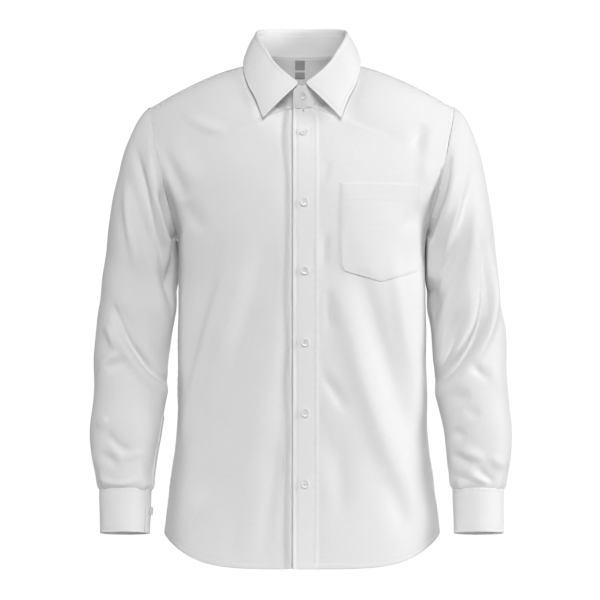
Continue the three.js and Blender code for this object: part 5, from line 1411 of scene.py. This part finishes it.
placketZ = np.linspace(-744, -86, 330)
leafRows, leafColumns = panels["collar_leaf"]["points"].shape[:2]
outerHalf = 0.42
sewing = {
    "placket": [levelLine(panels["placket"], 0 * placketZ + x, placketZ) for x in (placketShape["stitchLeft"], placketShape["stitchRight"])],
    "pocket": [lineInside(panels["pocket"], 1, False, pocketShape["edgeStitch"]), lineInside(panels["pocket"], 1, True, pocketShape["edgeStitch"]),
               partOf(lineInside(panels["pocket"], 0, False, pocketShape["edgeStitch"]), 0.02, 0.98),
               partOf(lineInside(panels["pocket"], 0, True, pocketShape["hem"]), 0.02, 0.98)],
    "collar": [partOf(lineInside(panels["collar_leaf"], 0, True, 5.5), 0.014, 0.986),
               partOf(lineInside(panels["collar_leaf"], 1, False, 5.5), outerHalf, 0.93),
               partOf(lineInside(panels["collar_leaf"], 1, True, 5.5), outerHalf, 0.93)],
    "stand": [lineInside(panels["collar_stand"], 0, False, 2.5)],
    "hem": [partOf(lineInside(panels[name], 0, False, seam["hemTurn"]), 0, 1) for name in ("front_left", "front_right", "back")],
    "yoke": [lineInside(panels["yoke"], 0, True, 2.2)]
            + [partOf(lineInside(panels["yoke"], 0, False, 2.2), *ends) for ends in ((0.0, 0.36), (0.64, 1.0))],
    "armholes": [partOf(lineInside(panels[name], 1, True, 6), 0.53, 1) for name in ("front_left", "front_right")]
                + [partOf(lineInside(panels["back"], 1, end, 6), 0.53, 1) for end in (False, True)]
                + [lineInside(panels["yoke"], 1, end, 6) for end in (False, True)],
}
for name in ("left", "right"):
    cuff = panels["cuff_" + name]
    sewing["cuff_" + name] = [partOf(lineInside(cuff, 0, False, 5.5), 0.02, 0.93), partOf(lineInside(cuff, 0, True, 5.5), 0.02, 0.93),
                              partOf(lineInside(cuff, 1, False, 5.5), 0.08, 0.92)]
    strip = panels["sleeve_placket_" + name]
    sewing["sleeve_placket_" + name] = [lineInside(strip, 1, False, 2), lineInside(strip, 1, True, 2), lineInside(strip, 0, True, 2)]
for name, lines in sewing.items():
    addPiece("stitches_" + name, stitchMesh("stitches_" + name, lines), thread)
print("stitches made")


studio = {"ambient": 0.015, "floor": -0.95, "floorRadius": 0.9, "lights": {
    "rightSide": {"place": (3.1, -0.7, 0.6), "size": 1.4, "watts": 60},
    "leftSide": {"place": (-3.1, -0.7, 0.6), "size": 1.4, "watts": 27},
    "frontHigh": {"place": (0.3, -2.9, 1.6), "size": 1.4, "watts": 65},
    "frontLow": {"place": (0.2, -3.3, 0.0), "size": 1.4, "watts": 14},
    "backRight": {"place": (1.1, 3.0, -0.1), "size": 1.8, "watts": 42},
    "backLeft": {"place": (-1.4, 2.9, -0.3), "size": 1.8, "watts": 26},
}}


def softLight(name, place, target, size, watts):
    data = bpy.data.lights.new(name, "AREA")
    data.shape = "DISK"
    data.size = size
    data.energy = watts
    light = bpy.data.objects.new(name, data)
    light.location = place
    light.rotation_euler = (Vector(target) - Vector(place)).to_track_quat("-Z", "Y").to_euler()
    bpy.context.scene.collection.objects.link(light)


for name, facts in studio["lights"].items():
    softLight(name, facts["place"], (0, 0, -0.3), facts["size"], facts["watts"])

world = bpy.data.worlds.new("studioWorld")
bpy.context.scene.world = world
world.use_nodes = True
tree = world.node_tree
tree.nodes.clear()
white = addNode(tree, "ShaderNodeBackground", {"Color": (1, 1, 1, 1), "Strength": 1.02})
ambient = addNode(tree, "ShaderNodeBackground", {"Color": (1, 1, 1, 1), "Strength": studio["ambient"]})
seen = addNode(tree, "ShaderNodeLightPath")
mixed = addNode(tree, "ShaderNodeMixShader")
tree.links.new(seen.outputs["Is Camera Ray"], mixed.inputs[0])
tree.links.new(ambient.outputs[0], mixed.inputs[1])
tree.links.new(white.outputs[0], mixed.inputs[2])
addNode(tree, "ShaderNodeOutputWorld", (), {"Surface": mixed.outputs[0]})

floorMaterial, floorTree = newMaterial("paleFloor")
floorGrain = addNode(floorTree, "ShaderNodeTexNoise", {"Scale": 30.0, "Detail": 2.0})
floorBump = addNode(floorTree, "ShaderNodeBump", {"Strength": 0.05, "Distance": 0.001}, {"Height": floorGrain.outputs["Fac"]})
floorShader = addNode(floorTree, "ShaderNodeBsdfPrincipled", {"Base Color": (0.86, 0.86, 0.86, 1), "Roughness": 0.7},
                      {"Normal": floorBump.outputs["Normal"]})
addNode(floorTree, "ShaderNodeOutputMaterial", (), {"Surface": floorShader.outputs["BSDF"]})
floorMesh = bpy.data.meshes.new("floor")
ringAngle = np.linspace(0, 2 * np.pi, 97)[:-1]
floorMesh.from_pydata(stack(studio["floorRadius"] * np.cos(ringAngle), studio["floorRadius"] * np.sin(ringAngle), studio["floor"]).tolist(),
                      [], [tuple(range(96))])
floorMesh.materials.append(floorMaterial)
floor = bpy.data.objects.new("floor", floorMesh)
bpy.context.scene.collection.objects.link(floor)

shot = {"place": (-0.003, -3.2, -0.36), "lens": 128, "sensor": 36}
cameraData = bpy.data.cameras.new("camera")
cameraData.lens = shot["lens"]
cameraData.sensor_width = shot["sensor"]
camera = bpy.data.objects.new("camera", cameraData)
camera.location = shot["place"]
camera.rotation_euler = (math.pi / 2, 0, 0)
bpy.context.scene.collection.objects.link(camera)
bpy.context.scene.camera = camera
bpy.context.scene.view_settings.view_transform = "Standard"
print("light, floor and camera made")
